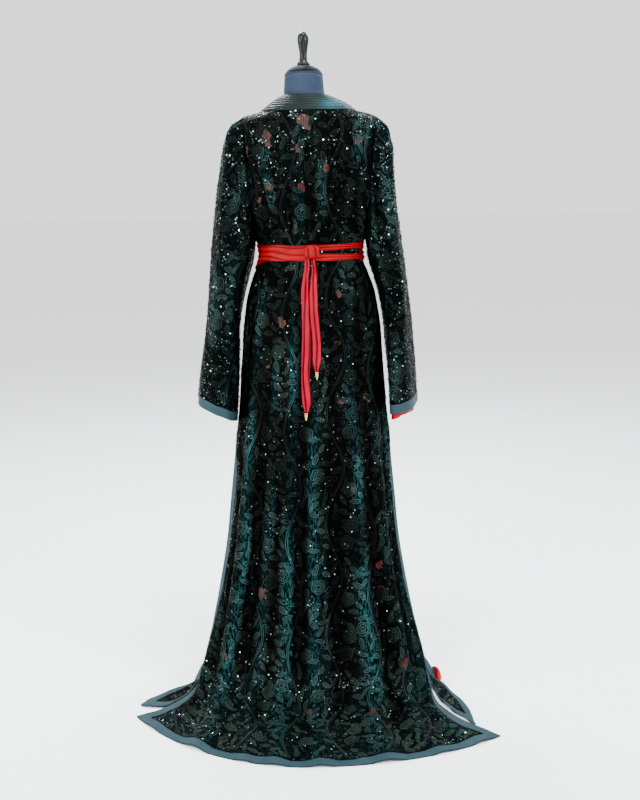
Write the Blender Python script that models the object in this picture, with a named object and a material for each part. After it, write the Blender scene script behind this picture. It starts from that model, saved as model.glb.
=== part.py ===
# A Moroccan kaftan of sequined velvet, worn by a limbless dress form on a round stand.
# The kaftan's back faces -Y, +X is on the right of a viewer behind it, and +Z is up.
# The origin is the centre of the stand's underside, on the floor. Lengths are in metres.

import math
from collections import namedtuple

import bpy
import numpy as np

for item in list(bpy.data.objects):
    bpy.data.objects.remove(item, do_unlink=True)

# Driving dimensions
CLOTH = 0.0016
TRIM_CLOTH = 0.0014
SATIN = 0.0012
SEAM_GAP = 0.0003
TRIM_WIDTH = 0.025
LOOSE_GAP = 0.0008
WAIST_HEIGHT = 1.178
BACK_COLUMNS = 36
FRONT_COLUMNS = 13
SHOULDER_COLUMNS = 5
SLEEVE_RINGS = 12
BAND_RIBS = 5
RIB_HEIGHT = 0.0011
QUARTER_TURN = math.pi / 2
LEAN = 0.010
LEAN_START = 0.10
LEAN_REACH = 0.95
NECK_LEAN_TOP = 1.555
NECK_LEAN_REACH = 0.040

# Cross sections from the neckline to the hem, as seen from behind. Each has the height, the place
# of its left and right edge, the depth at the middle of the back and of the front, and the turn
# that its arc makes from the middle to the edge.
Section = namedtuple("Section", "name z_mid z_edge half edge_back edge_front back front turn")
BODICE = [
    Section("neckline", 1.5400, 1.5425, 0.125, 0.000, 0.000, 0.100, 0.062, 1.571),
    Section("shoulder tip", 1.5300, 1.5320, 0.167, 0.000, 0.000, 0.105, 0.080, 1.420),
    Section("shoulder", 1.5110, 1.5170, 0.170, 0.024, 0.022, 0.111, 0.090, 1.320),
    Section("upper armhole", 1.4820, 1.4840, 0.169, 0.039, 0.037, 0.118, 0.102, 1.260),
    Section("back yoke", 1.4320, 1.4320, 0.165, 0.053, 0.050, 0.126, 0.117, 1.220),
    Section("armhole", 1.3720, 1.3720, 0.160, 0.059, 0.055, 0.132, 0.128, 1.220),
    Section("lower armhole", 1.3060, 1.3060, 0.155, 0.052, 0.050, 0.131, 0.128, 1.260),
    Section("above underarm", 1.2500, 1.2500, 0.150, 0.033, 0.032, 0.125, 0.121, 1.360),
    Section("underarm", 1.2070, 1.2070, 0.146, 0.000, 0.000, 0.113, 0.111, 1.571),
    Section("belt top", 1.1960, 1.1960, 0.140, 0.000, 0.000, 0.104, 0.103, 1.571),
    Section("waist", 1.1780, 1.1780, 0.136, 0.000, 0.000, 0.099, 0.099, 1.571),
    Section("belt foot", 1.1560, 1.1560, 0.139, 0.000, 0.000, 0.102, 0.101, 1.571),
    Section("high hip", 1.1200, 1.1200, 0.152, 0.000, 0.000, 0.113, 0.110, 1.571),
    Section("hip", 1.0700, 1.0700, 0.169, 0.000, 0.000, 0.127, 0.119, 1.571),
    Section("low hip", 1.0000, 1.0000, 0.182, 0.000, 0.000, 0.140, 0.128, 1.571),
    Section("thigh", 0.9100, 0.9100, 0.190, 0.000, 0.000, 0.147, 0.135, 1.571),
    Section("low thigh", 0.8200, 0.8200, 0.197, 0.000, 0.000, 0.151, 0.141, 1.571),
    Section("above slit", 0.7400, 0.7400, 0.203, 0.000, 0.000, 0.154, 0.147, 1.571),
    Section("slit top", 0.6850, 0.6850, 0.209, 0.000, 0.000, 0.156, 0.151, 1.571),
]
UNDERARM = 8

# Sections of the skirt below the slit top. A hanging or floor-lying corner has its own place.
Skirt = namedtuple("Skirt", "name z depth half_left edge_left half_right edge_right turn")
BACK_SKIRT = [
    Skirt("knee", 0.600, -0.161, 0.216, -0.020, 0.216, -0.020, 1.571),
    Skirt("calf", 0.500, -0.167, 0.226, -0.033, 0.226, -0.033, 1.571),
    Skirt("low calf", 0.400, -0.176, 0.236, -0.045, 0.236, -0.045, 1.571),
    Skirt("shin", 0.300, -0.188, 0.252, -0.058, 0.252, -0.060, 1.571),
    Skirt("ankle", 0.205, -0.203, 0.270, -0.078, 0.270, -0.085, 1.571),
    Skirt("low ankle", 0.125, -0.223, 0.287, -0.102, 0.287, -0.112, 1.571),
    Skirt("break", 0.060, -0.255, 0.303, -0.130, 0.300, -0.148, 1.571),
    Skirt("touch", 0.018, -0.304, 0.318, -0.165, 0.309, -0.192, 1.571),
    Skirt("train start", 0.007, -0.364, 0.334, -0.205, 0.315, -0.245, 1.480),
    Skirt("train", 0.006, -0.440, 0.362, -0.253, 0.333, -0.314, 1.300),
    Skirt("train end", 0.006, -0.520, 0.398, -0.297, 0.374, -0.386, 1.080),
    Skirt("hem", 0.003, -0.602, 0.462, -0.330, 0.460, -0.466, 0.850),
]
FRONT_SKIRT = [
    Skirt("knee", 0.600, 0.157, 0.216, 0.004, 0.216, 0.004, 1.571),
    Skirt("calf", 0.500, 0.167, 0.226, 0.000, 0.226, 0.000, 1.571),
    Skirt("low calf", 0.400, 0.179, 0.236, -0.006, 0.236, -0.006, 1.571),
    Skirt("shin", 0.300, 0.192, 0.252, -0.018, 0.252, -0.018, 1.571),
    Skirt("ankle", 0.205, 0.207, 0.270, -0.040, 0.270, -0.042, 1.571),
    Skirt("low ankle", 0.125, 0.226, 0.288, -0.068, 0.288, -0.072, 1.571),
    Skirt("break", 0.060, 0.253, 0.305, -0.102, 0.305, -0.112, 1.571),
    Skirt("touch", 0.018, 0.286, 0.321, -0.150, 0.317, -0.166, 1.571),
    Skirt("floor start", 0.007, 0.308, 0.339, -0.196, 0.327, -0.230, 1.571),
    Skirt("floor", 0.006, 0.328, 0.365, -0.245, 0.340, -0.295, 1.571),
    Skirt("floor end", 0.006, 0.348, 0.400, -0.289, 0.371, -0.361, 1.571),
    Skirt("hem", 0.003, 0.392, 0.461, -0.268, 0.408, -0.404, 1.571),
]
# On the floor the front's hem is round up to a bend, then nearly straight from there to its corner
FRONT_BEND = 0.84
FRONT_BEND_HALF = {
    "touch": 0.304, "floor start": 0.309, "floor": 0.315, "floor end": 0.321, "hem": 0.334,
}
FRONT_BEND_EDGE = {
    "touch": -0.090, "floor start": -0.098, "floor": -0.106, "floor end": -0.114, "hem": -0.134,
}
FRONT_HEM_BULGE = {"hem": 0.018, "floor end": 0.008}
SLIT_TOP = len(BODICE) - 1
HEM = SLIT_TOP + len(BACK_SKIRT)
FLOOR_ROWS = 3
HEM_SETTLE = 0.35
NECK_CORNER = 1.0 - SHOULDER_COLUMNS / (BACK_COLUMNS / 2)

# Folds of the skirt, each with its place on the half arc at the waist and the hem, its half width
# there, its height off the cloth at the hem, and the section where it starts
Fold = namedtuple("Fold", "waist hem width height start")
BACK_FOLDS = [
    Fold(-0.88, -0.86, 0.055, 0.012, 13),
    Fold(-0.70, -0.72, 0.050, -0.010, 12),
    Fold(-0.56, -0.60, 0.062, 0.020, 11),
    Fold(-0.42, -0.45, 0.050, -0.014, 12),
    Fold(-0.31, -0.33, 0.052, 0.013, 12),
    Fold(-0.17, -0.19, 0.050, 0.017, 11),
    Fold(-0.08, -0.09, 0.040, -0.010, 13),
    Fold(0.01, 0.02, 0.055, 0.013, 12),
    Fold(0.17, 0.16, 0.048, -0.015, 12),
    Fold(0.33, 0.34, 0.066, 0.021, 11),
    Fold(0.48, 0.49, 0.046, -0.012, 12),
    Fold(0.60, 0.62, 0.050, 0.014, 13),
    Fold(0.72, 0.74, 0.050, -0.010, 12),
    Fold(0.84, 0.86, 0.055, 0.015, 12),
]
FRONT_FOLDS = [
    Fold(0.14, 0.15, 0.070, 0.016, 12),
    Fold(0.30, 0.32, 0.065, -0.012, 12),
    Fold(0.47, 0.49, 0.075, 0.019, 11),
    Fold(0.64, 0.66, 0.065, -0.012, 13),
]
# Folds that rise from the belt into the bodice, with their place at the waist and at the shoulder
Rise = namedtuple("Rise", "waist top width height")
BACK_RISES = [
    Rise(-0.72, -0.86, 0.070, 0.006),
    Rise(-0.50, -0.56, 0.065, 0.008),
    Rise(-0.30, -0.33, 0.055, 0.005),
    Rise(-0.10, -0.12, 0.060, 0.006),
    Rise(0.12, 0.15, 0.060, 0.005),
    Rise(0.33, 0.40, 0.060, 0.008),
    Rise(0.55, 0.62, 0.060, 0.006),
    Rise(0.76, 0.88, 0.070, 0.007),
]
# Gathers on each side of the belt: how many on the back and on one front, their height and reach
BACK_GATHERS = 11
FRONT_GATHERS = 5
GATHER_HEIGHT = 0.0022
GATHER_START = 0.042
GATHER_REACH = 0.085

# The neck opening's edge from the shoulder to the point of the V, and the band's free edge with it
NeckStation = namedtuple("NeckStation", "way outer_x outer_z inner_x inner_y inner_z")
NECK_V = [
    NeckStation(0.00, 0.1250, 1.5425, 0.0600, 0.000, 1.5770),
    NeckStation(0.16, 0.1230, 1.5140, 0.0640, 0.040, 1.5590),
    NeckStation(0.38, 0.1070, 1.4610, 0.0570, 0.086, 1.4980),
    NeckStation(0.70, 0.0700, 1.3660, 0.0310, 0.122, 1.4060),
    NeckStation(1.00, 0.0006, 1.2420, 0.0006, 0.129, 1.3370),
]
# The band's free edge behind the neck, from the shoulder to the middle
NAPE_EDGE = [(0.060, 0.000, 1.577), (0.058, -0.026, 1.581), (0.043, -0.046, 1.583), (0.0, -0.064, 1.583)]
NAPE_COLUMNS = 15
V_COLUMNS = FRONT_COLUMNS - SHOULDER_COLUMNS
BAND_ROLL = 0.004
BAND_CLEAR = 0.0006
NECK_CLEAR = 0.0009

# Sleeves: the outer and inner outline from behind, and the half depth seen from the side
SleeveLevel = namedtuple("SleeveLevel", "z outer inner depth")
SLEEVE = [
    SleeveLevel(1.5320, 0.1675, 0.1660, 0.004),
    SleeveLevel(1.5250, 0.1900, 0.1690, 0.016),
    SleeveLevel(1.5150, 0.2010, 0.1690, 0.030),
    SleeveLevel(1.4940, 0.2120, 0.1680, 0.044),
    SleeveLevel(1.4690, 0.2180, 0.1660, 0.056),
    SleeveLevel(1.4000, 0.2280, 0.1620, 0.070),
    SleeveLevel(1.3130, 0.2390, 0.1560, 0.082),
    SleeveLevel(1.2070, 0.2530, 0.1480, 0.091),
    SleeveLevel(1.1500, 0.2600, 0.1580, 0.095),
    SleeveLevel(1.1000, 0.2650, 0.1745, 0.098),
    SleeveLevel(1.0450, 0.2710, 0.1870, 0.101),
    SleeveLevel(0.9900, 0.2765, 0.1960, 0.104),
    SleeveLevel(0.8800, 0.2870, 0.2050, 0.110),
    SleeveLevel(0.7800, 0.2960, 0.2130, 0.116),
    SleeveLevel(0.7200, 0.3000, 0.2170, 0.118),
]
Cuff = namedtuple("Cuff", "outer_z inner_z flare")
CUFFS = {"left": Cuff(0.778, 0.724, 0.012), "right": Cuff(0.756, 0.744, -0.004)}
# The sleeves' outer lines hang plumb, so they take the kaftan's lean back here
SLEEVE_PLUMB = {"left": 0.010, "right": -0.010}
SLEEVE_PLUMB_TOP = 1.500
SLEEVE_PLUMB_REACH = 0.22
CUFF_FLARE_TOP = 1.04
CUFF_FLARE_REACH = 0.26
ARMHOLE_CLEAR = 0.0008
SLEEVE_SKEW = 0.16
SLEEVE_SKEW_REACH = 0.45
SLEEVE_SQUARENESS = 0.82
SLEEVE_BLEND = 0.42
SLEEVE_TOP_BLEND = 0.09

# The dress form: half width, depth behind and in front, and roundness of each section
FormRing = namedtuple("FormRing", "z half back front power")
FORM = [
    FormRing(0.900, 0.122, 0.092, 0.084, 2.0),
    FormRing(0.908, 0.154, 0.118, 0.106, 2.0),
    FormRing(0.940, 0.164, 0.128, 0.114, 2.0),
    FormRing(0.990, 0.160, 0.126, 0.111, 2.0),
    FormRing(1.050, 0.144, 0.112, 0.102, 2.0),
    FormRing(1.115, 0.126, 0.096, 0.091, 2.0),
    FormRing(1.175, 0.116, 0.085, 0.084, 2.0),
    FormRing(1.235, 0.124, 0.095, 0.093, 2.0),
    FormRing(1.295, 0.137, 0.106, 0.109, 2.0),
    FormRing(1.355, 0.145, 0.111, 0.116, 2.0),
    FormRing(1.405, 0.151, 0.109, 0.108, 2.0),
    FormRing(1.452, 0.157, 0.102, 0.093, 1.95),
    FormRing(1.487, 0.161, 0.094, 0.082, 1.85),
    FormRing(1.510, 0.163, 0.087, 0.073, 1.65),
    FormRing(1.524, 0.160, 0.082, 0.060, 1.42),
    FormRing(1.533, 0.1490, 0.077, 0.046, 1.30),
    FormRing(1.5402, 0.1220, 0.072, 0.044, 1.35),
    FormRing(1.549, 0.098, 0.067, 0.054, 1.65),
    FormRing(1.561, 0.069, 0.060, 0.054, 1.95),
    FormRing(1.579, 0.0560, 0.0545, 0.053, 2.0),
    FormRing(1.602, 0.0525, 0.0525, 0.0515, 2.0),
    FormRing(1.628, 0.0505, 0.0510, 0.0500, 2.0),
]
FORM_SEGMENTS = 24
NECK_TILT = 0.16
NECK_TILT_START = 1.579

# Turned pieces, as height and radius from the foot up
CAP_PROFILE = [
    (0.0, 0.0505), (0.006, 0.0505), (0.013, 0.0470), (0.020, 0.0400), (0.026, 0.0300), (0.030, 0.0190),
]
FINIAL_PROFILE = [
    (0.0000, 0.0165), (0.0040, 0.0172), (0.0080, 0.0150), (0.0120, 0.0118), (0.0200, 0.0098),
    (0.0300, 0.0100), (0.0400, 0.0112), (0.0500, 0.0128), (0.0580, 0.0143), (0.0660, 0.0147),
    (0.0730, 0.0140), (0.0780, 0.0120), (0.0820, 0.0085), (0.0845, 0.0040),
]
STAND_RADIUS = 0.150
STAND_THICKNESS = 0.018
STAND_PROFILE = [
    (0.0, STAND_RADIUS - 0.002), (0.002, STAND_RADIUS), (0.012, STAND_RADIUS),
    (0.016, STAND_RADIUS - 0.003), (STAND_THICKNESS, STAND_RADIUS - 0.008),
]
POLE_RADIUS = 0.0125


def mix(low, high, part):
    return low + (high - low) * part


def ease(value):
    value = np.clip(value, 0.0, 1.0)
    return value * value * (3.0 - 2.0 * value)


def bell(distance, width):
    return np.exp(-((distance / width) ** 2))


def column(rows, name):
    return np.array([getattr(row, name) for row in rows])


def arc(part, turn):
    # Across and along values of an arc: 0 and 1 at its middle, 1 and 0 at its edge
    across = math.sin(part * turn) / math.sin(turn)
    along = (math.cos(part * turn) - math.cos(turn)) / (1.0 - math.cos(turn))
    return across, along


def between(rows, field, place):
    return float(np.interp(place, range(len(rows)), column(rows, field)))


def back_point(part, place):
    # part runs from -1 at the left edge to 1 at the right, place is a section number from the neck
    side = "left" if part < 0 else "right"
    if place <= SLIT_TOP:
        across, along = arc(abs(part), between(BODICE, "turn", place))
        x = between(BODICE, "half", place) * across
        edge = -between(BODICE, "edge_back", place)
        y = edge + (-between(BODICE, "back", place) - edge) * along
        z_edge = between(BODICE, "z_edge", place)
        z = z_edge + (between(BODICE, "z_mid", place) - z_edge) * along
    else:
        row = place - SLIT_TOP - 1
        if row < 0:
            above, below = back_point(part, SLIT_TOP), back_point(part, SLIT_TOP + 1)
            return mix(above, below, row + 1)
        across, along = arc(abs(part), between(BACK_SKIRT, "turn", row))
        x = between(BACK_SKIRT, "half_" + side, row) * across
        edge = between(BACK_SKIRT, "edge_" + side, row)
        y = edge + (between(BACK_SKIRT, "depth", row) - edge) * along
        z = between(BACK_SKIRT, "z", row)
    return np.array([math.copysign(x, part), y, z])


def front_point(part, place):
    # part runs from 1 at the right edge over 0 at the middle of the front to -1 at the left edge
    side = "left" if part < 0 else "right"
    reach = abs(part)
    if place <= SLIT_TOP:
        across, along = arc(reach, between(BODICE, "turn", place))
        x = between(BODICE, "half", place) * across
        edge = between(BODICE, "edge_front", place)
        y = edge + (between(BODICE, "front", place) - edge) * along
        z = between(BODICE, "z_edge", place)
    else:
        row = place - SLIT_TOP - 1
        if row < 0:
            above, below = front_point(part, SLIT_TOP), front_point(part, SLIT_TOP + 1)
            return mix(above, below, row + 1)
        corner = between(FRONT_SKIRT, "half_" + side, row), between(FRONT_SKIRT, "edge_" + side, row)
        depth = between(FRONT_SKIRT, "depth", row)
        z = between(FRONT_SKIRT, "z", row)
        named = FRONT_SKIRT[int(round(row))].name
        if named in FRONT_BEND_HALF:
            bend = FRONT_BEND_HALF[named], FRONT_BEND_EDGE[named]
            across, along = arc(min(reach / FRONT_BEND, 1.0), QUARTER_TURN)
            x, y = bend[0] * across, bend[1] + (depth - bend[1]) * along
            straight = max(reach - FRONT_BEND, 0.0) / (1.0 - FRONT_BEND)
            x, y = mix(x, corner[0], straight), mix(y, corner[1], straight)
            x += FRONT_HEM_BULGE.get(named, 0.0) * math.sin(math.pi * straight)
        else:
            across, along = arc(reach, QUARTER_TURN)
            x, y = corner[0] * across, corner[1] + (depth - corner[1]) * along
    return np.array([math.copysign(x, part), y, z])


def lean(points):
    # The kaftan and the form's body hang a little to the right of the neck and the foot
    z = points[..., 2]
    shift = ease((z - LEAN_START) / LEAN_REACH) * (1.0 - ease((z - NECK_LEAN_TOP) / NECK_LEAN_REACH))
    points[..., 0] += LEAN * shift
    return points


def skirt_rise(part, place, folds):
    # How far the cloth stands out from its plain section here
    settle = mix(1.0, HEM_SETTLE, min(max((place - HEM + FLOOR_ROWS + 1) / (FLOOR_ROWS + 1), 0.0), 1.0))
    fade = (1.0 - abs(part) ** 10) * settle
    rise = 0.0
    for fold in folds:
        share = ease((place - fold.start) / 12.0)
        centre = mix(fold.waist, fold.hem, share)
        rise += fold.height * share * bell(part - centre, fold.width)
    return rise * fade


def gather_rise(part, z, gathers):
    off_belt = abs(z - WAIST_HEIGHT) - GATHER_START
    if off_belt <= 0 or off_belt > GATHER_REACH:
        return 0.0
    swell = ease(off_belt / 0.02) * (1.0 - ease(off_belt / GATHER_REACH))
    wander = 0.35 * math.sin(5.0 * part + 1.0)
    wave = math.cos(2.0 * math.pi * gathers * part + wander)
    return GATHER_HEIGHT * swell * wave * (1.0 - abs(part) ** 10)


def bodice_rise(part, place):
    share = ease((UNDERARM + 2 - place) / (UNDERARM + 2.0))
    rise = 0.0
    for crease in BACK_RISES:
        swell = math.sin(math.pi * min(max((UNDERARM - place) / (UNDERARM - 1.0), 0.0), 1.0))
        rise += crease.height * swell * bell(part - mix(crease.waist, crease.top, share), crease.width)
    return rise * (1.0 - abs(part) ** 6)


def unit(vectors):
    return vectors / np.maximum(np.linalg.norm(vectors, axis=-1, keepdims=True), 1e-12)


def normals_of(grid, wrap=False):
    # Outward direction at each point of a grid whose rows run down and whose columns run
    # anticlockwise seen from above
    if wrap:
        along = np.roll(grid, -1, axis=1) - np.roll(grid, 1, axis=1)
    else:
        along = np.gradient(grid, axis=1)
    down = np.gradient(grid, axis=0)
    return unit(np.cross(down, along))


def lift_off_floor(points, least):
    points[..., 2] = np.maximum(points[..., 2], least)


def hem_row(grid, width, spread=0):
    # Adds a row one trim's width above the last one, and spaces the few rows over it evenly
    start = grid.shape[0] - 2 - spread
    foot = grid[start:]
    steps = np.linalg.norm(np.diff(foot, axis=0), axis=-1)
    lengths = np.concatenate([np.zeros((1, grid.shape[1])), np.cumsum(steps, axis=0)])
    shares = np.linspace(0.0, 1.0, spread + 2)
    rows = []
    for column_index in range(grid.shape[1]):
        length = lengths[:, column_index]
        stops = np.append(shares * (length[-1] - width), length[-1])
        rows.append([
            [np.interp(stop, length, foot[:, column_index, axis]) for axis in range(3)] for stop in stops])
    return np.concatenate([grid[:start], np.array(rows).transpose(1, 0, 2)])


def trim_share(points_at, sign, place):
    # The share of the half arc that one trim's width takes at a slit edge
    edge = points_at(sign, place)
    near, far = 0.0, 0.4
    for _ in range(30):
        middle = (near + far) / 2.0
        if np.linalg.norm(points_at(sign * (1.0 - middle), place) - edge) < TRIM_WIDTH:
            near = middle
        else:
            far = middle
    return far


def back_parts(place):
    if place <= UNDERARM:
        return np.linspace(-1.0, 1.0, BACK_COLUMNS + 1)
    left = trim_share(back_point, -1.0, place)
    right = trim_share(back_point, 1.0, place)
    return np.concatenate([[-1.0], np.linspace(left - 1.0, 1.0 - right, BACK_COLUMNS - 1), [1.0]])


def front_parts(sign, place):
    if place <= UNDERARM:
        return np.linspace(1.0, 0.0, FRONT_COLUMNS + 1)
    share = trim_share(front_point, sign, place)
    return np.concatenate([[1.0], np.linspace(1.0 - share, 0.0, FRONT_COLUMNS)])


def back_grid():
    rows = []
    rises = []
    for place in range(1, HEM + 1):
        level = back_parts(place)
        shown = 1.5 if place == 1 else place
        rows.append([back_point(part, shown) for part in level])
        rises.append([
            skirt_rise(part, shown, BACK_FOLDS) + bodice_rise(part, shown)
            + gather_rise(part, rows[-1][index][2], BACK_GATHERS)
            for index, part in enumerate(level)])
    top = []
    for part in back_parts(0):
        if abs(part) < NECK_CORNER - 1e-9:
            top.append(back_point(part / NECK_CORNER, 0))
        else:
            share = (abs(part) - NECK_CORNER) / (1.0 - NECK_CORNER)
            top.append(back_point(math.copysign(1.0, part), share))
    rows.insert(0, top)
    rises.insert(0, [0.0] * len(top))
    grid = np.array(rows)
    rise = np.array(rises)
    grid = hem_row(grid + normals_of(grid) * rise[..., None], TRIM_WIDTH, FLOOR_ROWS)
    lift_off_floor(grid, CLOTH / 2.0)
    return grid


def neck_v(way, field):
    return float(np.interp(way, column(NECK_V, "way"), column(NECK_V, field)))


def front_place_of(z):
    heights = column(BODICE, "z_edge")
    return float(np.interp(-z, -heights, range(len(heights))))


def front_start(index):
    # Part and place where a front column starts: on the shoulder seam, then on the neck's V
    if index <= SHOULDER_COLUMNS:
        return 1.0, 1.0 - index / SHOULDER_COLUMNS
    way = (index - SHOULDER_COLUMNS) / V_COLUMNS
    place = front_place_of(neck_v(way, "outer_z"))
    half = between(BODICE, "half", place)
    turn = between(BODICE, "turn", place)
    part = math.asin(min(neck_v(way, "outer_x") / half * math.sin(turn), 1.0)) / turn
    return part, place


def front_grid(side):
    # Columns run from the side edge to the middle; the left one is mirrored in its order later
    sign = -1.0 if side == "left" else 1.0
    rows = []
    rises = []
    for place in range(1, HEM + 1):
        level = []
        places = []
        shift = front_parts(sign, place)
        for index in range(FRONT_COLUMNS + 1):
            part, start = front_start(index)
            share = min(place / UNDERARM, 1.0)
            level_place = 1.5 if place == 1 else place
            if share < 1.0 and index > SHOULDER_COLUMNS:
                part = mix(part, shift[index], share)
                start = mix(start, UNDERARM, share)
            elif share < 1.0:
                part = shift[index]
                start = mix(level_place, mix(1.0, UNDERARM, share), index / SHOULDER_COLUMNS)
            else:
                part = shift[index]
                start = place
            level.append(part)
            places.append(start)
        rows.append([front_point(sign * part, start) for part, start in zip(level, places)])
        rises.append([
            skirt_rise(part, start, FRONT_FOLDS) * ease(part / 0.08)
            + gather_rise(part, point[2], FRONT_GATHERS) * ease(part / 0.08)
            for part, start, point in zip(level, places, rows[-1])])
    top = []
    for index in range(FRONT_COLUMNS + 1):
        part, start = front_start(index)
        top.append(front_point(sign * part, start))
    rows.insert(0, top)
    rises.insert(0, [0.0] * (FRONT_COLUMNS + 1))
    grid = np.array(rows)
    grid[:, -1, 0] = 0.0
    rise = np.array(rises)
    if side == "left":
        grid = grid[:, ::-1]
        rise = rise[:, ::-1]
    grid = hem_row(grid + normals_of(grid) * rise[..., None], TRIM_WIDTH, FLOOR_ROWS)
    lift_off_floor(grid, CLOTH / 2.0)
    return grid


def sleeve_level(z, field):
    return float(np.interp(-z, -column(SLEEVE, "z"), column(SLEEVE, field)))


def sleeve_section(angle, z, side):
    # angle is 0 at the inner line, a quarter turn at the back and a half turn at the outer line
    outer = sleeve_level(z, "outer")
    inner = sleeve_level(z, "inner")
    cuff = CUFFS[side]
    outer += cuff.flare * ease((CUFF_FLARE_TOP - z) / CUFF_FLARE_REACH)
    outer += SLEEVE_PLUMB[side] * ease((SLEEVE_PLUMB_TOP - z) / SLEEVE_PLUMB_REACH)
    centre = (outer + inner) / 2.0
    half = (outer - inner) / 2.0
    across = -math.cos(angle)
    depth = math.sin(angle)
    x = centre + half * math.copysign(abs(across) ** SLEEVE_SQUARENESS, across)
    y = -sleeve_level(z, "depth") * math.copysign(abs(depth) ** SLEEVE_SQUARENESS, depth)
    return x + SLEEVE_SKEW * y * ease((BODICE[UNDERARM].z_edge - z) / SLEEVE_SKEW_REACH), y


def sleeve_grid(side, armhole):
    # armhole holds the points from the underarm up the back, over the shoulder, down the front
    count = len(armhole)
    sign = -1.0 if side == "left" else 1.0
    cuff = CUFFS[side]
    rows = []
    for ring in range(SLEEVE_RINGS + 1):
        share = ring / SLEEVE_RINGS
        row = []
        for index, start in enumerate(armhole):
            angle = 2.0 * math.pi * index / count
            end_z = mix(cuff.inner_z, cuff.outer_z, (1.0 - math.cos(angle)) / 2.0)
            quick = mix(1.0, 1.35, (1.0 - math.cos(angle)) / 2.0)
            z = mix(start[2], end_z, share ** quick)
            x, y = sleeve_section(angle, z, side)
            blend = mix(SLEEVE_TOP_BLEND, SLEEVE_BLEND, math.sin(angle) ** 2)
            hold = 1.0 - ease(share / blend)
            x = mix(x, abs(start[0]), hold)
            y = mix(y, start[1], hold)
            row.append((sign * x, y, z))
        rows.append(row)
    return hem_row(np.array(rows), TRIM_WIDTH)


def finish_object(name, vertices, faces, material, leans=True):
    vertices = np.array(vertices, dtype=float)
    if leans:
        vertices = lean(vertices)
    mesh = bpy.data.meshes.new(name)
    mesh.from_pydata([tuple(float(value) for value in vertex) for vertex in vertices], [], faces)
    mesh.update()
    mesh.shade_smooth()
    mesh.set_sharp_from_angle(angle=math.radians(50))
    piece = bpy.data.objects.new(name, mesh)
    bpy.context.scene.collection.objects.link(piece)
    piece.data.materials.append(material)
    return piece


def wall_faces(rows, columns, wrap, keep=None):
    # Triangles of the outer side, then of the inner side, then of the border, for the kept cells
    count = rows * columns
    cells = set()
    for row in range(rows - 1):
        for col in range(columns if wrap else columns - 1):
            if keep is None or keep(row, col):
                cells.add((row, col))

    def corner(row, col):
        return row * columns + col % columns

    faces = []
    edges = {}
    for row, col in sorted(cells):
        a, b = corner(row, col), corner(row + 1, col)
        c, d = corner(row + 1, col + 1), corner(row, col + 1)
        for triangle in ((a, b, c), (a, c, d)):
            faces.append(triangle)
            faces.append(tuple(index + count for index in reversed(triangle)))
            for first, second in zip(triangle, triangle[1:] + triangle[:1]):
                edges[(first, second)] = True
    for first, second in list(edges):
        if (second, first) not in edges:
            faces.append((second, first, first + count))
            faces.append((second, first + count, second + count))
    return faces


def wall(name, outer, inner, material, wrap=False, keep=None):
    # A closed cloth wall between two grids of points
    rows, columns = outer.shape[:2]
    vertices = np.concatenate([outer.reshape(-1, 3), inner.reshape(-1, 3)])
    faces = wall_faces(rows, columns, wrap, keep)
    used = sorted({index for face in faces for index in face})
    place = {index: number for number, index in enumerate(used)}
    faces = [tuple(place[index] for index in face) for face in faces]
    return finish_object(name, vertices[used], faces, material)


def cloth_wall(name, grid, normals, thickness, material, wrap=False):
    outer = grid + normals * (thickness / 2.0)
    inner = grid - normals * (thickness / 2.0)
    lift_off_floor(inner, 0.0)
    return wall(name, outer, inner, material, wrap)


def layer_on(name, grid, normals, below, thickness, material, keep, wrap=False):
    # A strip that lies on a cloth wall, made from the wall's own points moved out
    low = below / 2.0 + SEAM_GAP
    inner = grid + normals * low
    outer = grid + normals * (low + thickness)
    return wall(name, outer, inner, material, wrap, keep)


def meet(normals_a, normals_b):
    return unit(normals_a + normals_b)


def draw_in(grid, normals, edge, amount):
    # Draws one edge of a grid back along the cloth, so that it stands clear of the next piece
    moves = {
        "left": (np.s_[:, 0], np.s_[:, 1]), "right": (np.s_[:, -1], np.s_[:, -2]),
        "top": (np.s_[0], np.s_[1]),
    }
    here, beside = moves[edge]
    way = grid[beside] - grid[here]
    for axis in (normals[here], unit(np.gradient(grid[here], axis=0))):
        way = way - axis * np.sum(way * axis, axis=-1, keepdims=True)
    grid[here] = grid[here] + unit(way) * amount


def make_material(name, colour, roughness, metallic=0.0):
    material = bpy.data.materials.new(name)
    material.use_nodes = True
    shader = material.node_tree.nodes["Principled BSDF"]
    shader.inputs["Base Color"].default_value = (*colour, 1.0)
    shader.inputs["Roughness"].default_value = roughness
    shader.inputs["Metallic"].default_value = metallic
    return material


def ring_solid(name, rings, material, leans=True):
    # A closed solid through rings of points, listed from the foot up, with flat ends
    count = len(rings[0])
    vertices = [point for ring in rings for point in ring]
    faces = []
    for level in range(len(rings) - 1):
        for index in range(count):
            a = level * count + index
            b = level * count + (index + 1) % count
            faces.append((a, b, b + count))
            faces.append((a, b + count, a + count))
    faces.append(tuple(reversed(range(count))))
    faces.append(tuple(range(len(vertices) - count, len(vertices))))
    return finish_object(name, vertices, faces, material, leans)


def circle(radius, z, segments, x=0.0, y=0.0):
    turns = [2.0 * math.pi * index / segments for index in range(segments)]
    return [(x + radius * math.cos(turn), y + radius * math.sin(turn), z) for turn in turns]


def form_ring(row):
    points = []
    for index in range(FORM_SEGMENTS):
        turn = 2.0 * math.pi * index / FORM_SEGMENTS
        x, y = math.cos(turn), math.sin(turn)
        depth = row.front if y > 0 else row.back
        shape = 2.0 / row.power
        x = row.half * math.copysign(abs(x) ** shape, x)
        y = depth * math.copysign(abs(y) ** shape, y)
        tilt = NECK_TILT * max(row.z - NECK_TILT_START, 0.0) / (FORM[-1].z - NECK_TILT_START)
        points.append((x, y, row.z - tilt * y))
    return points


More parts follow.
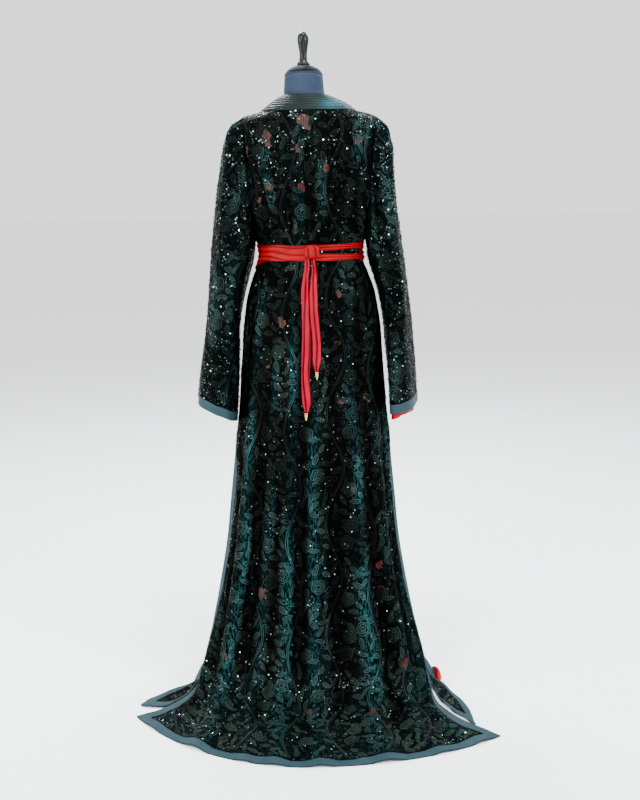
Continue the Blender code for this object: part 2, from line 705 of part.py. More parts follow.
def make_form(materials):
    ring_solid("form_torso", [form_ring(row) for row in FORM], materials["jersey"])
    top = FORM[-1]
    cap_rings = []
    for height, radius in CAP_PROFILE:
        ring = circle(radius - 0.0002, top.z + SEAM_GAP + height, FORM_SEGMENTS)
        tilt = NECK_TILT * (1.0 - height / CAP_PROFILE[-1][0])
        cap_rings.append([(x, y, z - tilt * y) for x, y, z in ring])
    ring_solid("neck_cap", cap_rings, materials["cap"], leans=False)
    foot = top.z + CAP_PROFILE[-1][0] + 2.0 * SEAM_GAP
    finial = [circle(radius, foot + height, 18) for height, radius in FINIAL_PROFILE]
    ring_solid("neck_finial", finial, materials["finial"], leans=False)
    pole = [circle(POLE_RADIUS, z, 16) for z in (STAND_THICKNESS + SEAM_GAP, FORM[0].z - SEAM_GAP)]
    ring_solid("stand_pole", pole, materials["metal"], leans=False)
    base = [circle(radius, height, 36) for height, radius in STAND_PROFILE]
    ring_solid("stand_base", base, materials["metal"], leans=False)


def make_panels(materials):
    # Builds the five sewn panels and returns their grids and outward directions by name
    back = back_grid()
    right = front_grid("right")
    left = front_grid("left")
    normals = {"back": normals_of(back), "right": normals_of(right), "left": normals_of(left)}
    seam = slice(UNDERARM, SLIT_TOP + 1)
    for front, back_col, front_col in (("right", -1, 0), ("left", 0, -1)):
        shared = meet(normals["back"][seam, back_col], normals[front][seam, front_col])
        normals["back"][seam, back_col] = shared
        normals[front][seam, front_col] = shared
    for step in range(SHOULDER_COLUMNS + 1):
        shared = meet(normals["back"][0, BACK_COLUMNS - step], normals["right"][0, step])
        normals["back"][0, BACK_COLUMNS - step] = shared
        normals["right"][0, step] = shared
        shared = meet(normals["back"][0, step], normals["left"][0, FRONT_COLUMNS - step])
        normals["back"][0, step] = shared
        normals["left"][0, FRONT_COLUMNS - step] = shared
    shared = meet(normals["right"][:, -1], normals["left"][:, 0])
    shared[:, 0] = 0.0
    normals["right"][:, -1] = unit(shared)
    normals["left"][:, 0] = unit(shared)

    armholes = {}
    for side, back_col, front, front_col in (("right", -1, right, 0), ("left", 0, left, -1)):
        up_back = [back[row, back_col] for row in range(UNDERARM, 0, -1)]
        down_front = [front[row, front_col] for row in range(0, UNDERARM)]
        faces_back = [normals["back"][row, back_col] for row in range(UNDERARM, 0, -1)]
        faces_front = [normals[side][row, front_col] for row in range(0, UNDERARM)]
        armholes[side] = (np.array(up_back + down_front), np.array(faces_back + faces_front))

    for name, grid in (("back", back), ("right", right), ("left", left)):
        draw_in(grid, normals[name], "left", SEAM_GAP / 2.0)
        draw_in(grid, normals[name], "right", SEAM_GAP / 2.0)
        draw_in(grid, normals[name], "top", NECK_CLEAR)

    grids = {"back": back, "right": right, "left": left}
    cloth_wall("back_panel", back, normals["back"], CLOTH, materials["velvet"])
    cloth_wall("front_panel_right", right, normals["right"], CLOTH, materials["velvet"])
    cloth_wall("front_panel_left", left, normals["left"], CLOTH, materials["velvet"])
    for side in ("left", "right"):
        points, faces = armholes[side]
        sign = -1.0 if side == "left" else 1.0
        off = ARMHOLE_CLEAR + CLOTH * np.abs(faces[:, 0])
        points = points + np.array([sign, 0.0, 0.0]) * off[:, None]
        grid = sleeve_grid(side, list(points))
        if side == "left":
            grid = grid[:, ::-1]
        normal = normals_of(grid, wrap=True)
        grids["sleeve_" + side] = grid
        normals["sleeve_" + side] = normal
        cloth_wall("sleeve_" + side, grid, normal, CLOTH, materials["velvet"], wrap=True)
    return grids, normals


def make_trims(grids, normals, materials):
    last = grids["back"].shape[0] - 2
    slit = SLIT_TOP

    def back_trim(row, col):
        return row == last or (row >= slit and col in (0, BACK_COLUMNS - 1))

    def right_trim(row, col):
        return row == last or (row >= slit and col == 0)

    def left_trim(row, col):
        return row == last or (row >= slit and col == FRONT_COLUMNS - 1)

    for name, key, keep in (
            ("edge_trim_back", "back", back_trim), ("edge_trim_front_right", "right", right_trim),
            ("edge_trim_front_left", "left", left_trim)):
        layer_on(name, grids[key], normals[key], CLOTH, TRIM_CLOTH, materials["braid"], keep)
    for side in ("left", "right"):
        key = "sleeve_" + side
        ring = grids[key].shape[0] - 2
        layer_on("cuff_trim_" + side, grids[key], normals[key], CLOTH, TRIM_CLOTH, materials["braid"],
                 lambda row, col, ring=ring: row == ring, wrap=True)


def nape_point(way):
    ways = np.linspace(0.0, 1.0, len(NAPE_EDGE))
    return np.array([np.interp(way, ways, [point[axis] for point in NAPE_EDGE]) for axis in range(3)])


def make_band(grids, materials):
    # One ribbed band from the point of the V round the nape and back
    outer = []
    inner = []
    mirror = np.array([-1.0, 1.0, 1.0])
    for index in range(V_COLUMNS, 0, -1):
        way = index / V_COLUMNS
        part, place = front_start(SHOULDER_COLUMNS + index)
        outer.append(front_point(part, place))
        inner.append(np.array([neck_v(way, field) for field in ("inner_x", "inner_y", "inner_z")]))
    outer[0][0] = NECK_V[-1].outer_x
    half = NAPE_COLUMNS / 2.0
    for index in range(NAPE_COLUMNS + 1):
        part = 1.0 - index / half
        outer.append(back_point(part, 0))
        inner.append(nape_point(1.0 - abs(part)) * (mirror if part < 0 else 1.0))
    for index in range(V_COLUMNS):
        outer.append(outer[V_COLUMNS - 1 - index] * mirror)
        inner.append(inner[V_COLUMNS - 1 - index] * mirror)
    outer = np.array(outer)
    inner = np.array(inner)
    steps = 2 * BAND_RIBS
    grid = np.array([inner + (outer - inner) * (step / steps) for step in range(steps + 1)])
    grid = grid[:, ::-1]
    normals = normals_of(grid)
    roll = np.array([math.sin(math.pi * step / steps) for step in range(steps + 1)])
    grid = grid + normals * (BAND_ROLL * roll)[:, None, None]
    normals = normals_of(grid)
    grid[-1] += unit(grid[-2] - grid[-1]) * BAND_CLEAR
    ribs = np.array([RIB_HEIGHT * (step % 2) for step in range(steps + 1)])
    top = grid + normals * (CLOTH / 2.0 + ribs)[:, None, None]
    low = grid - normals * (CLOTH / 2.0)
    for side in (top, low):
        side[:, 0, 0] = -NECK_V[-1].outer_x
        side[:, -1, 0] = NECK_V[-1].outer_x
    wall("neck_band", top, low, materials["band"])


def waist_point(turn, z, off):
    # A point on the cloth round the waist, moved out. turn is 0 behind, a quarter on the right
    place = float(np.interp(-z, -column(BODICE, "z_edge"), range(len(BODICE))))
    half = between(BODICE, "half", place)
    depth = between(BODICE, "back" if math.cos(turn) > 0 else "front", place)
    x, y = half * math.sin(turn), -depth * math.cos(turn)
    way = np.array([math.sin(turn) / half, -math.cos(turn) / depth, 0.0])
    return np.array([x, y, z]) + unit(way) * off


Belt = namedtuple("Belt", "name start end top_start top_end foot_start foot_end folds columns")
KNOT_LEFT_TURN = 0.010
KNOT_RIGHT_TURN = 0.030
BELT_SIDE_TURN = 1.20
BELTS = [
    Belt("belt_wrap", BELT_SIDE_TURN + 0.004, 2.0 * math.pi - KNOT_LEFT_TURN,
         1.199, 1.198, 1.151, 1.157, 3, 36),
    Belt("belt_strand_upper", KNOT_RIGHT_TURN, BELT_SIDE_TURN, 1.198, 1.201, 1.182, 1.186, 2, 8),
    Belt("belt_strand_lower", KNOT_RIGHT_TURN, BELT_SIDE_TURN, 1.176, 1.171, 1.156, 1.157, 2, 8),
]
BELT_FRONT_DROP = 0.004
BELT_FRONT_RISE = -0.002
BELT_SEAT = 0.0016
BELT_FOLD = 0.0016


def make_belt(materials):
    for belt in BELTS:
        steps = 2 * belt.folds
        high, low = [], []
        for step in range(steps + 1):
            down = step / steps
            high_row, low_row = [], []
            for index in range(belt.columns + 1):
                way = index / belt.columns
                turn = mix(belt.start, belt.end, way)
                front = ease(-math.cos(turn) * 0.8 + 0.2)
                top = mix(belt.top_start, belt.top_end, way) + BELT_FRONT_RISE * front
                foot = mix(belt.foot_start, belt.foot_end, way) - BELT_FRONT_DROP * front
                z = mix(top, foot, down)
                fold = BELT_FOLD * (step % 2) * (0.7 + 0.3 * math.sin(3.0 * turn + step))
                low_row.append(waist_point(turn, z, BELT_SEAT))
                high_row.append(waist_point(turn, z, BELT_SEAT + SATIN + fold))
            high.append(high_row)
            low.append(low_row)
        wall(belt.name, np.array(high), np.array(low), materials["satin"])


KNOT_CENTRE = (0.0040, 1.1815)
KNOT_HALF = (0.0205, 0.0175)
KNOT_DEPTH = 0.022
KNOT_SEAT = 0.0004
KNOT_LEVELS = 7
KNOT_SEGMENTS = 16


def make_knot(materials):
    # A rounded knot in layers, from the belt outwards
    top = waist_point(0.0, BELTS[0].top_end, BELT_SEAT + SATIN + KNOT_SEAT)
    rings = []
    for level in range(KNOT_LEVELS + 1):
        share = level / KNOT_LEVELS
        swell = max(1.0 - max(share - 0.35, 0.0) ** 2 / 0.46, 0.05) ** 0.5
        ring = []
        for index in range(KNOT_SEGMENTS):
            turn = 2.0 * math.pi * index / KNOT_SEGMENTS
            x = KNOT_CENTRE[0] + KNOT_HALF[0] * swell * math.cos(turn)
            z = KNOT_CENTRE[1] + KNOT_HALF[1] * swell * math.sin(turn)
            ring.append((x, top[1] - KNOT_DEPTH * share, z))
        rings.append(ring)
    ring_solid("belt_knot", rings, materials["satin"])


Tail = namedtuple("Tail", "name left right foot_row foot_share narrow")
TAILS = [
    Tail("long", -1.65, -0.22, 16, 0.70, 0.45),
    Tail("short", 0.02, 1.30, 15, 0.42, 0.45),
]
TAIL_TOP_ROW = 10
TAIL_TOP_SHARE = 0.20
TAIL_LIFT = 0.0034
TAIL_COLUMNS = 4
TAIL_FOLD = 0.0030
TIP_LENGTH = 0.020
TIP_RADIUS = 0.0052


def make_tails(grids, normals, materials):
    grid, normal = grids["back"], normals["back"]
    middle = BACK_COLUMNS // 2

    def on_panel(source, row, col):
        low_row, low_col = int(math.floor(row)), int(math.floor(col))
        high_row, high_col = min(low_row + 1, source.shape[0] - 1), min(low_col + 1, source.shape[1] - 1)
        top = mix(source[low_row, low_col], source[low_row, high_col], col - low_col)
        foot = mix(source[high_row, low_col], source[high_row, high_col], col - low_col)
        return mix(top, foot, row - low_row)

    for tail in TAILS:
        rows = [TAIL_TOP_ROW + TAIL_TOP_SHARE]
        end = tail.foot_row + tail.foot_share
        while rows[-1] + 0.5 < end:
            rows.append(math.floor(rows[-1] * 2.0 + 1.0) / 2.0)
        rows.append(end)
        high, low = [], []
        for row in rows:
            pinch = mix(1.0, tail.narrow, ease((row - end + 0.35) / 0.35))
            pinch *= mix(0.62, 1.0, ease((row - rows[0]) / 1.6))
            centre = (tail.left + tail.right) / 2.0
            high_row, low_row = [], []
            for index in range(TAIL_COLUMNS + 1):
                share = index / TAIL_COLUMNS
                col = middle + centre + (mix(tail.left, tail.right, share) - centre) * pinch
                point, way = on_panel(grid, row, col), unit(on_panel(normal, row, col))
                fold = TAIL_FOLD * (index % 2) * ease((row - rows[0]) / 2.5)
                seat = CLOTH / 2.0 + LOOSE_GAP + TAIL_LIFT * (1.0 - ease((row - rows[0] - 0.4) / 3.0))
                low_row.append(point + way * seat)
                high_row.append(point + way * (seat + SATIN + fold))
            high.append(high_row)
            low.append(low_row)
        wall("belt_tail_" + tail.name, np.array(high), np.array(low), materials["satin"])
        foot = (np.array(low[-1]).mean(axis=0) + np.array(high[-1]).mean(axis=0)) / 2.0
        lean = unit(on_panel(grid, end + 0.4, middle + centre) - on_panel(grid, end, middle + centre))
        out = unit(on_panel(normal, end, middle + centre))
        across = np.cross(lean, out)
        rings = []
        for share, radius in ((1.0, 0.25), (0.75, 0.55), (0.35, 0.85), (0.0, 1.0)):
            seat = foot + lean * (SEAM_GAP + TIP_LENGTH * share) + out * (TIP_RADIUS * 0.8)
            ring = []
            for index in range(10):
                turn = 2.0 * math.pi * index / 10
                spread = across * math.cos(turn) + out * math.sin(turn)
                ring.append(seat + spread * TIP_RADIUS * radius)
            rings.append(ring)
        ring_solid("belt_tip_" + tail.name, rings, materials["gold"])


CUFF_LINING_UP = 0.030
CUFF_LINING_DOWN = (0.006, 0.020)
CUFF_LINING_EASE = 0.0006
# Where the red fold peeps out from under the right front's hem, as columns of that panel's grid
HEM_FOLD_START = 2.35
HEM_FOLD_END = 3.35
HEM_FOLD_STEPS = 12
HEM_FOLD_REACH = 0.024
HEM_FOLD_RISE = 0.010
HEM_FOLD_CLEAR = 0.0026


def make_linings(grids, normals, materials):
    # The satin that shows under the right cuff and beyond the hem of the right front
    grid, normal = grids["sleeve_right"], normals["sleeve_right"]
    inset = CLOTH / 2.0 + SEAM_GAP + SATIN / 2.0
    edge = grid[-1] - normal[-1] * inset
    up = unit(grid[-2] - grid[-1])
    count = edge.shape[0]
    hang = np.array([
        mix(*CUFF_LINING_DOWN, (1.0 + math.cos(2.0 * math.pi * index / count)) / 2.0)
        for index in range(count)])[:, None]
    tube = np.array([
        edge + up * CUFF_LINING_UP - normal[-1] * CUFF_LINING_EASE,
        edge, edge - up * hang * 0.5, edge - up * hang])
    cloth_wall("cuff_lining_right", tube, normals_of(tube, wrap=True), SATIN, materials["satin"], wrap=True)

    hem = grids["right"][-1]
    inland = grids["right"][-2]
    rows = []
    for step in range(HEM_FOLD_STEPS + 1):
        share = step / HEM_FOLD_STEPS
        col = mix(HEM_FOLD_START, HEM_FOLD_END, share)
        spot = np.array([np.interp(col, range(len(hem)), hem[:, axis]) for axis in range(3)])
        behind = np.array([np.interp(col, range(len(hem)), inland[:, axis]) for axis in range(3)])
        away = (spot - behind) * (1.0, 1.0, 0.0)
        away = unit(away)
        swell = math.sin(math.pi * mix(0.12, 0.88, share))
        up = np.array([0.0, 0.0, 1.0])
        near = spot * (1.0, 1.0, 0.0) + away * HEM_FOLD_CLEAR + up * SATIN
        rows.append([
            near,
            near + away * HEM_FOLD_REACH * 0.35 * swell + up * HEM_FOLD_RISE * swell,
            near + away * HEM_FOLD_REACH * 0.80 * swell + up * HEM_FOLD_RISE * 0.7 * swell,
            near + away * HEM_FOLD_REACH * swell,
        ])
    flap = np.array(rows)
    cloth_wall("hem_fold_right", flap, normals_of(flap), SATIN, materials["satin"])


def main():
    materials = {
        "velvet": make_material("velvet", (0.010, 0.030, 0.028), 0.75),
        "braid": make_material("braid", (0.055, 0.105, 0.100), 0.6),
        "band": make_material("band", (0.040, 0.100, 0.095), 0.55),
        "satin": make_material("satin", (0.62, 0.016, 0.022), 0.32),
        "gold": make_material("gold", (0.72, 0.55, 0.22), 0.35, 1.0),
        "jersey": make_material("jersey", (0.045, 0.055, 0.085), 0.85),
        "cap": make_material("cap", (0.016, 0.018, 0.026), 0.7),
        "finial": make_material("finial", (0.010, 0.011, 0.014), 0.18),
        "metal": make_material("metal", (0.030, 0.030, 0.032), 0.4, 0.8),
    }
    make_form(materials)
    grids, normals = make_panels(materials)
    make_trims(grids, normals, materials)
    make_band(grids, materials)
    make_belt(materials)
    make_knot(materials)
    make_tails(grids, normals, materials)
    make_linings(grids, normals, materials)


main()
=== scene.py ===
# A Moroccan kaftan of sequined velvet on a limbless dress form, seen from behind
import json
import math
from collections import namedtuple

import bpy
import numpy as np
from mathutils import Matrix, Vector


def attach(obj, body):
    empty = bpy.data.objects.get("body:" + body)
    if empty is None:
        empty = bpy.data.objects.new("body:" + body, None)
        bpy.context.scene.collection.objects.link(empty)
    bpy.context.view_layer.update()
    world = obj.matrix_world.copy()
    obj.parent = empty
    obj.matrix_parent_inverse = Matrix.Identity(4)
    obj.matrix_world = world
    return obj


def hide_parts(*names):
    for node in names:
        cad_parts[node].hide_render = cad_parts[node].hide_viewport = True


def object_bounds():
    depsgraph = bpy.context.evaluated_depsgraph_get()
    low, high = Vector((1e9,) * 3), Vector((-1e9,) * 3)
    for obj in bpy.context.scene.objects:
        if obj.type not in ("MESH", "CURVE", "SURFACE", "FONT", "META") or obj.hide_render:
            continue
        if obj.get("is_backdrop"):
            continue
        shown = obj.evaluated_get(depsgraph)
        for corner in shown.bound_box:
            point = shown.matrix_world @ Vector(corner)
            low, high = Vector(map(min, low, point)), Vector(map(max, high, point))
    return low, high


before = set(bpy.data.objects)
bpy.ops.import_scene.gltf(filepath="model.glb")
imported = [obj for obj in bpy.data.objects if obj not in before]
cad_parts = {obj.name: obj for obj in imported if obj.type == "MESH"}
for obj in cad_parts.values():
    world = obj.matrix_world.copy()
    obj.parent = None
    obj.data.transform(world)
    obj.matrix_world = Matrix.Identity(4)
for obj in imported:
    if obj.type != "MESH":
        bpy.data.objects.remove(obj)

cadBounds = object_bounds()
print("stage 1: frame loaded,", len(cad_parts), "nodes")

# shared sizes in metres, as the solids have them
cloth = 0.0016
trimWidth = 0.025
waistHeight = 1.178
backColumns = 36
frontColumns = 13
shoulderColumns = 5
sleeveRings = 12
quarterTurn = math.pi / 2
leanShift = 0.010
leanStart = 0.10
leanReach = 0.95
neckLeanTop = 1.555
neckLeanReach = 0.040
# how finely each cell of the solids' net is cut here
fine = {"rows": 8, "back": 8, "front": 10, "sleeve": 12, "band": 6}

# Cross sections from the neckline to the hem, as seen from behind. Each has the height, the place
# of its left and right edge, the depth at the middle of the back and of the front, and the turn
# that its arc makes from the middle to the edge.
Section = namedtuple("Section", "name zMid zEdge half edgeBack edgeFront back front turn")
bodice = [
    Section("neckline", 1.5400, 1.5425, 0.125, 0.000, 0.000, 0.100, 0.062, 1.571),
    Section("shoulder tip", 1.5300, 1.5320, 0.167, 0.000, 0.000, 0.105, 0.080, 1.420),
    Section("shoulder", 1.5110, 1.5170, 0.170, 0.024, 0.022, 0.111, 0.090, 1.320),
    Section("upper armhole", 1.4820, 1.4840, 0.169, 0.039, 0.037, 0.118, 0.102, 1.260),
    Section("back yoke", 1.4320, 1.4320, 0.165, 0.053, 0.050, 0.126, 0.117, 1.220),
    Section("armhole", 1.3720, 1.3720, 0.160, 0.059, 0.055, 0.132, 0.128, 1.220),
    Section("lower armhole", 1.3060, 1.3060, 0.155, 0.052, 0.050, 0.131, 0.128, 1.260),
    Section("above underarm", 1.2500, 1.2500, 0.150, 0.033, 0.032, 0.125, 0.121, 1.360),
    Section("underarm", 1.2070, 1.2070, 0.146, 0.000, 0.000, 0.113, 0.111, 1.571),
    Section("belt top", 1.1960, 1.1960, 0.140, 0.000, 0.000, 0.104, 0.103, 1.571),
    Section("waist", 1.1780, 1.1780, 0.136, 0.000, 0.000, 0.099, 0.099, 1.571),
    Section("belt foot", 1.1560, 1.1560, 0.139, 0.000, 0.000, 0.102, 0.101, 1.571),
    Section("high hip", 1.1200, 1.1200, 0.152, 0.000, 0.000, 0.113, 0.110, 1.571),
    Section("hip", 1.0700, 1.0700, 0.169, 0.000, 0.000, 0.127, 0.119, 1.571),
    Section("low hip", 1.0000, 1.0000, 0.182, 0.000, 0.000, 0.140, 0.128, 1.571),
    Section("thigh", 0.9100, 0.9100, 0.190, 0.000, 0.000, 0.147, 0.135, 1.571),
    Section("low thigh", 0.8200, 0.8200, 0.197, 0.000, 0.000, 0.151, 0.141, 1.571),
    Section("above slit", 0.7400, 0.7400, 0.203, 0.000, 0.000, 0.154, 0.147, 1.571),
    Section("slit top", 0.6850, 0.6850, 0.209, 0.000, 0.000, 0.156, 0.151, 1.571),
]
underarm = 8

# Sections of the skirt below the slit top. A hanging or floor-lying corner has its own place.
Skirt = namedtuple("Skirt", "name z depth halfLeft edgeLeft halfRight edgeRight turn")
backSkirt = [
    Skirt("knee", 0.600, -0.161, 0.216, -0.020, 0.216, -0.020, 1.571),
    Skirt("calf", 0.500, -0.167, 0.226, -0.033, 0.226, -0.033, 1.571),
    Skirt("low calf", 0.400, -0.176, 0.236, -0.045, 0.236, -0.045, 1.571),
    Skirt("shin", 0.300, -0.188, 0.252, -0.058, 0.252, -0.060, 1.571),
    Skirt("ankle", 0.205, -0.203, 0.270, -0.078, 0.270, -0.085, 1.571),
    Skirt("low ankle", 0.125, -0.223, 0.287, -0.102, 0.287, -0.112, 1.571),
    Skirt("break", 0.060, -0.255, 0.303, -0.130, 0.300, -0.148, 1.571),
    Skirt("touch", 0.018, -0.304, 0.318, -0.165, 0.309, -0.192, 1.571),
    Skirt("train start", 0.007, -0.364, 0.334, -0.205, 0.315, -0.245, 1.480),
    Skirt("train", 0.006, -0.440, 0.362, -0.253, 0.333, -0.314, 1.300),
    Skirt("train end", 0.006, -0.520, 0.398, -0.297, 0.374, -0.386, 1.080),
    Skirt("hem", 0.003, -0.602, 0.462, -0.330, 0.460, -0.466, 0.850),
]
frontSkirt = [
    Skirt("knee", 0.600, 0.157, 0.216, 0.004, 0.216, 0.004, 1.571),
    Skirt("calf", 0.500, 0.167, 0.226, 0.000, 0.226, 0.000, 1.571),
    Skirt("low calf", 0.400, 0.179, 0.236, -0.006, 0.236, -0.006, 1.571),
    Skirt("shin", 0.300, 0.192, 0.252, -0.018, 0.252, -0.018, 1.571),
    Skirt("ankle", 0.205, 0.207, 0.270, -0.040, 0.270, -0.042, 1.571),
    Skirt("low ankle", 0.125, 0.226, 0.288, -0.068, 0.288, -0.072, 1.571),
    Skirt("break", 0.060, 0.253, 0.305, -0.102, 0.305, -0.112, 1.571),
    Skirt("touch", 0.018, 0.286, 0.321, -0.150, 0.317, -0.166, 1.571),
    Skirt("floor start", 0.007, 0.308, 0.339, -0.196, 0.327, -0.230, 1.571),
    Skirt("floor", 0.006, 0.328, 0.365, -0.245, 0.340, -0.295, 1.571),
    Skirt("floor end", 0.006, 0.348, 0.400, -0.289, 0.371, -0.361, 1.571),
    Skirt("hem", 0.003, 0.392, 0.461, -0.268, 0.408, -0.404, 1.571),
]
# On the floor the front's hem is round up to a bend, then nearly straight from there to its corner
frontBend = 0.84
frontBendHalf = {
    "touch": 0.304, "floor start": 0.309, "floor": 0.315, "floor end": 0.321, "hem": 0.334,
}
frontBendEdge = {
    "touch": -0.090, "floor start": -0.098, "floor": -0.106, "floor end": -0.114, "hem": -0.134,
}
frontHemBulge = {"hem": 0.018, "floor end": 0.008}
slitTop = len(bodice) - 1
hem = slitTop + len(backSkirt)
floorRows = 3
hemSettle = 0.35
neckCorner = 1.0 - shoulderColumns / (backColumns / 2)

# Folds of the skirt, each with its place on the half arc at the waist and the hem, its half width
# there, its height off the cloth at the hem, and the section where it starts
Fold = namedtuple("Fold", "waist hem width height start")
backFolds = [
    Fold(-0.88, -0.86, 0.055, 0.012, 13),
    Fold(-0.70, -0.72, 0.050, -0.010, 12),
    Fold(-0.56, -0.60, 0.062, 0.020, 11),
    Fold(-0.42, -0.45, 0.050, -0.014, 12),
    Fold(-0.31, -0.33, 0.052, 0.013, 12),
    Fold(-0.17, -0.19, 0.050, 0.017, 11),
    Fold(-0.08, -0.09, 0.040, -0.010, 13),
    Fold(0.01, 0.02, 0.055, 0.013, 12),
    Fold(0.17, 0.16, 0.048, -0.015, 12),
    Fold(0.33, 0.34, 0.066, 0.021, 11),
    Fold(0.48, 0.49, 0.046, -0.012, 12),
    Fold(0.60, 0.62, 0.050, 0.014, 13),
    Fold(0.72, 0.74, 0.050, -0.010, 12),
    Fold(0.84, 0.86, 0.055, 0.015, 12),
]
frontFolds = [
    Fold(0.14, 0.15, 0.070, 0.016, 12),
    Fold(0.30, 0.32, 0.065, -0.012, 12),
    Fold(0.47, 0.49, 0.075, 0.019, 11),
    Fold(0.64, 0.66, 0.065, -0.012, 13),
]
# Folds that rise from the belt into the bodice, with their place at the waist and at the shoulder
Rise = namedtuple("Rise", "waist top width height")
backRises = [
    Rise(-0.72, -0.86, 0.070, 0.006),
    Rise(-0.50, -0.56, 0.065, 0.008),
    Rise(-0.30, -0.33, 0.055, 0.005),
    Rise(-0.10, -0.12, 0.060, 0.006),
    Rise(0.12, 0.15, 0.060, 0.005),
    Rise(0.33, 0.40, 0.060, 0.008),
    Rise(0.55, 0.62, 0.060, 0.006),
    Rise(0.76, 0.88, 0.070, 0.007),
]
# Gathers on each side of the belt: how many on the back and on one front, their height and reach
backGathers = 11
frontGathers = 5
gatherHeight = 0.0022
gatherStart = 0.042
gatherReach = 0.085

# The neck opening's edge from the shoulder to the point of the V, and the band's free edge with it
NeckStation = namedtuple("NeckStation", "way outerX outerZ innerX innerY innerZ")
neckLine = [
    NeckStation(0.00, 0.1250, 1.5425, 0.0600, 0.000, 1.5770),
    NeckStation(0.16, 0.1230, 1.5140, 0.0640, 0.040, 1.5590),
    NeckStation(0.38, 0.1070, 1.4610, 0.0570, 0.086, 1.4980),
    NeckStation(0.70, 0.0700, 1.3660, 0.0310, 0.122, 1.4060),
    NeckStation(1.00, 0.0006, 1.2420, 0.0006, 0.129, 1.3370),
]
# The band's free edge behind the neck, from the shoulder to the middle
napeEdge = [(0.060, 0.000, 1.577), (0.058, -0.026, 1.581), (0.043, -0.046, 1.583), (0.0, -0.064, 1.583)]
napeColumns = 15
vColumns = frontColumns - shoulderColumns

# Sleeves: the outer and inner outline from behind, and the half depth seen from the side
SleeveLevel = namedtuple("SleeveLevel", "z outer inner depth")
sleeve = [
    SleeveLevel(1.5320, 0.1675, 0.1660, 0.004),
    SleeveLevel(1.5250, 0.1900, 0.1690, 0.016),
    SleeveLevel(1.5150, 0.2010, 0.1690, 0.030),
    SleeveLevel(1.4940, 0.2120, 0.1680, 0.044),
    SleeveLevel(1.4690, 0.2180, 0.1660, 0.056),
    SleeveLevel(1.4000, 0.2280, 0.1620, 0.070),
    SleeveLevel(1.3130, 0.2390, 0.1560, 0.082),
    SleeveLevel(1.2070, 0.2530, 0.1480, 0.091),
    SleeveLevel(1.1500, 0.2600, 0.1580, 0.095),
    SleeveLevel(1.1000, 0.2650, 0.1745, 0.098),
    SleeveLevel(1.0450, 0.2710, 0.1870, 0.101),
    SleeveLevel(0.9900, 0.2765, 0.1960, 0.104),
    SleeveLevel(0.8800, 0.2870, 0.2050, 0.110),
    SleeveLevel(0.7800, 0.2960, 0.2130, 0.116),
    SleeveLevel(0.7200, 0.3000, 0.2170, 0.118),
]
Cuff = namedtuple("Cuff", "outerZ innerZ flare")
cuffs = {"left": Cuff(0.778, 0.724, 0.012), "right": Cuff(0.756, 0.744, -0.004)}
# The sleeves' outer lines hang plumb, so they take the kaftan's lean back here
sleevePlumb = {"left": 0.010, "right": -0.010}
sleevePlumbTop = 1.500
sleevePlumbReach = 0.22
cuffFlareTop = 1.04
cuffFlareReach = 0.26
sleeveSkew = 0.16
sleeveSkewReach = 0.45
sleeveSquareness = 0.82
sleeveBlend = 0.42
sleeveTopBlend = 0.09

# The dress form: half width, depth behind and in front, and roundness of each section
FormRing = namedtuple("FormRing", "z half back front power")
form = [
    FormRing(0.900, 0.122, 0.092, 0.084, 2.0),
    FormRing(0.908, 0.154, 0.118, 0.106, 2.0),
    FormRing(0.940, 0.164, 0.128, 0.114, 2.0),
    FormRing(0.990, 0.160, 0.126, 0.111, 2.0),
    FormRing(1.050, 0.144, 0.112, 0.102, 2.0),
    FormRing(1.115, 0.126, 0.096, 0.091, 2.0),
    FormRing(1.175, 0.116, 0.085, 0.084, 2.0),
    FormRing(1.235, 0.124, 0.095, 0.093, 2.0),
    FormRing(1.295, 0.137, 0.106, 0.109, 2.0),
    FormRing(1.355, 0.145, 0.111, 0.116, 2.0),
    FormRing(1.405, 0.151, 0.109, 0.108, 2.0),
    FormRing(1.452, 0.157, 0.102, 0.093, 1.95),
    FormRing(1.487, 0.161, 0.094, 0.082, 1.85),
    FormRing(1.510, 0.163, 0.087, 0.073, 1.65),
    FormRing(1.524, 0.160, 0.082, 0.060, 1.42),
    FormRing(1.533, 0.1490, 0.077, 0.046, 1.30),
    FormRing(1.5402, 0.1220, 0.072, 0.044, 1.35),
    FormRing(1.549, 0.098, 0.067, 0.054, 1.65),
    FormRing(1.561, 0.069, 0.060, 0.054, 1.95),
    FormRing(1.579, 0.0560, 0.0545, 0.053, 2.0),
    FormRing(1.602, 0.0525, 0.0525, 0.0515, 2.0),
    FormRing(1.628, 0.0505, 0.0510, 0.0500, 2.0),
]

# Turned pieces, as height and radius from the foot up
capProfile = [
    (0.0, 0.0505), (0.006, 0.0505), (0.013, 0.0470), (0.020, 0.0400), (0.026, 0.0300), (0.030, 0.0190),
]
finialProfile = [
    (0.0000, 0.0165), (0.0040, 0.0172), (0.0080, 0.0150), (0.0120, 0.0118), (0.0200, 0.0098),
    (0.0300, 0.0100), (0.0400, 0.0112), (0.0500, 0.0128), (0.0580, 0.0143), (0.0660, 0.0147),
    (0.0730, 0.0140), (0.0780, 0.0120), (0.0820, 0.0085), (0.0845, 0.0040),
]

def mix(low, high, part):
    return low + (high - low) * part


def ease(value):
    value = np.clip(value, 0.0, 1.0)
    return value * value * (3.0 - 2.0 * value)


def bell(distance, width):
    return np.exp(-((distance / width) ** 2))


def column(rows, name):
    return np.array([getattr(row, name) for row in rows])


def arc(part, turn):
    # Across and along values of an arc: 0 and 1 at its middle, 1 and 0 at its edge
    across = math.sin(part * turn) / math.sin(turn)
    along = (math.cos(part * turn) - math.cos(turn)) / (1.0 - math.cos(turn))
    return across, along


def between(rows, field, place):
    return float(np.interp(place, range(len(rows)), column(rows, field)))


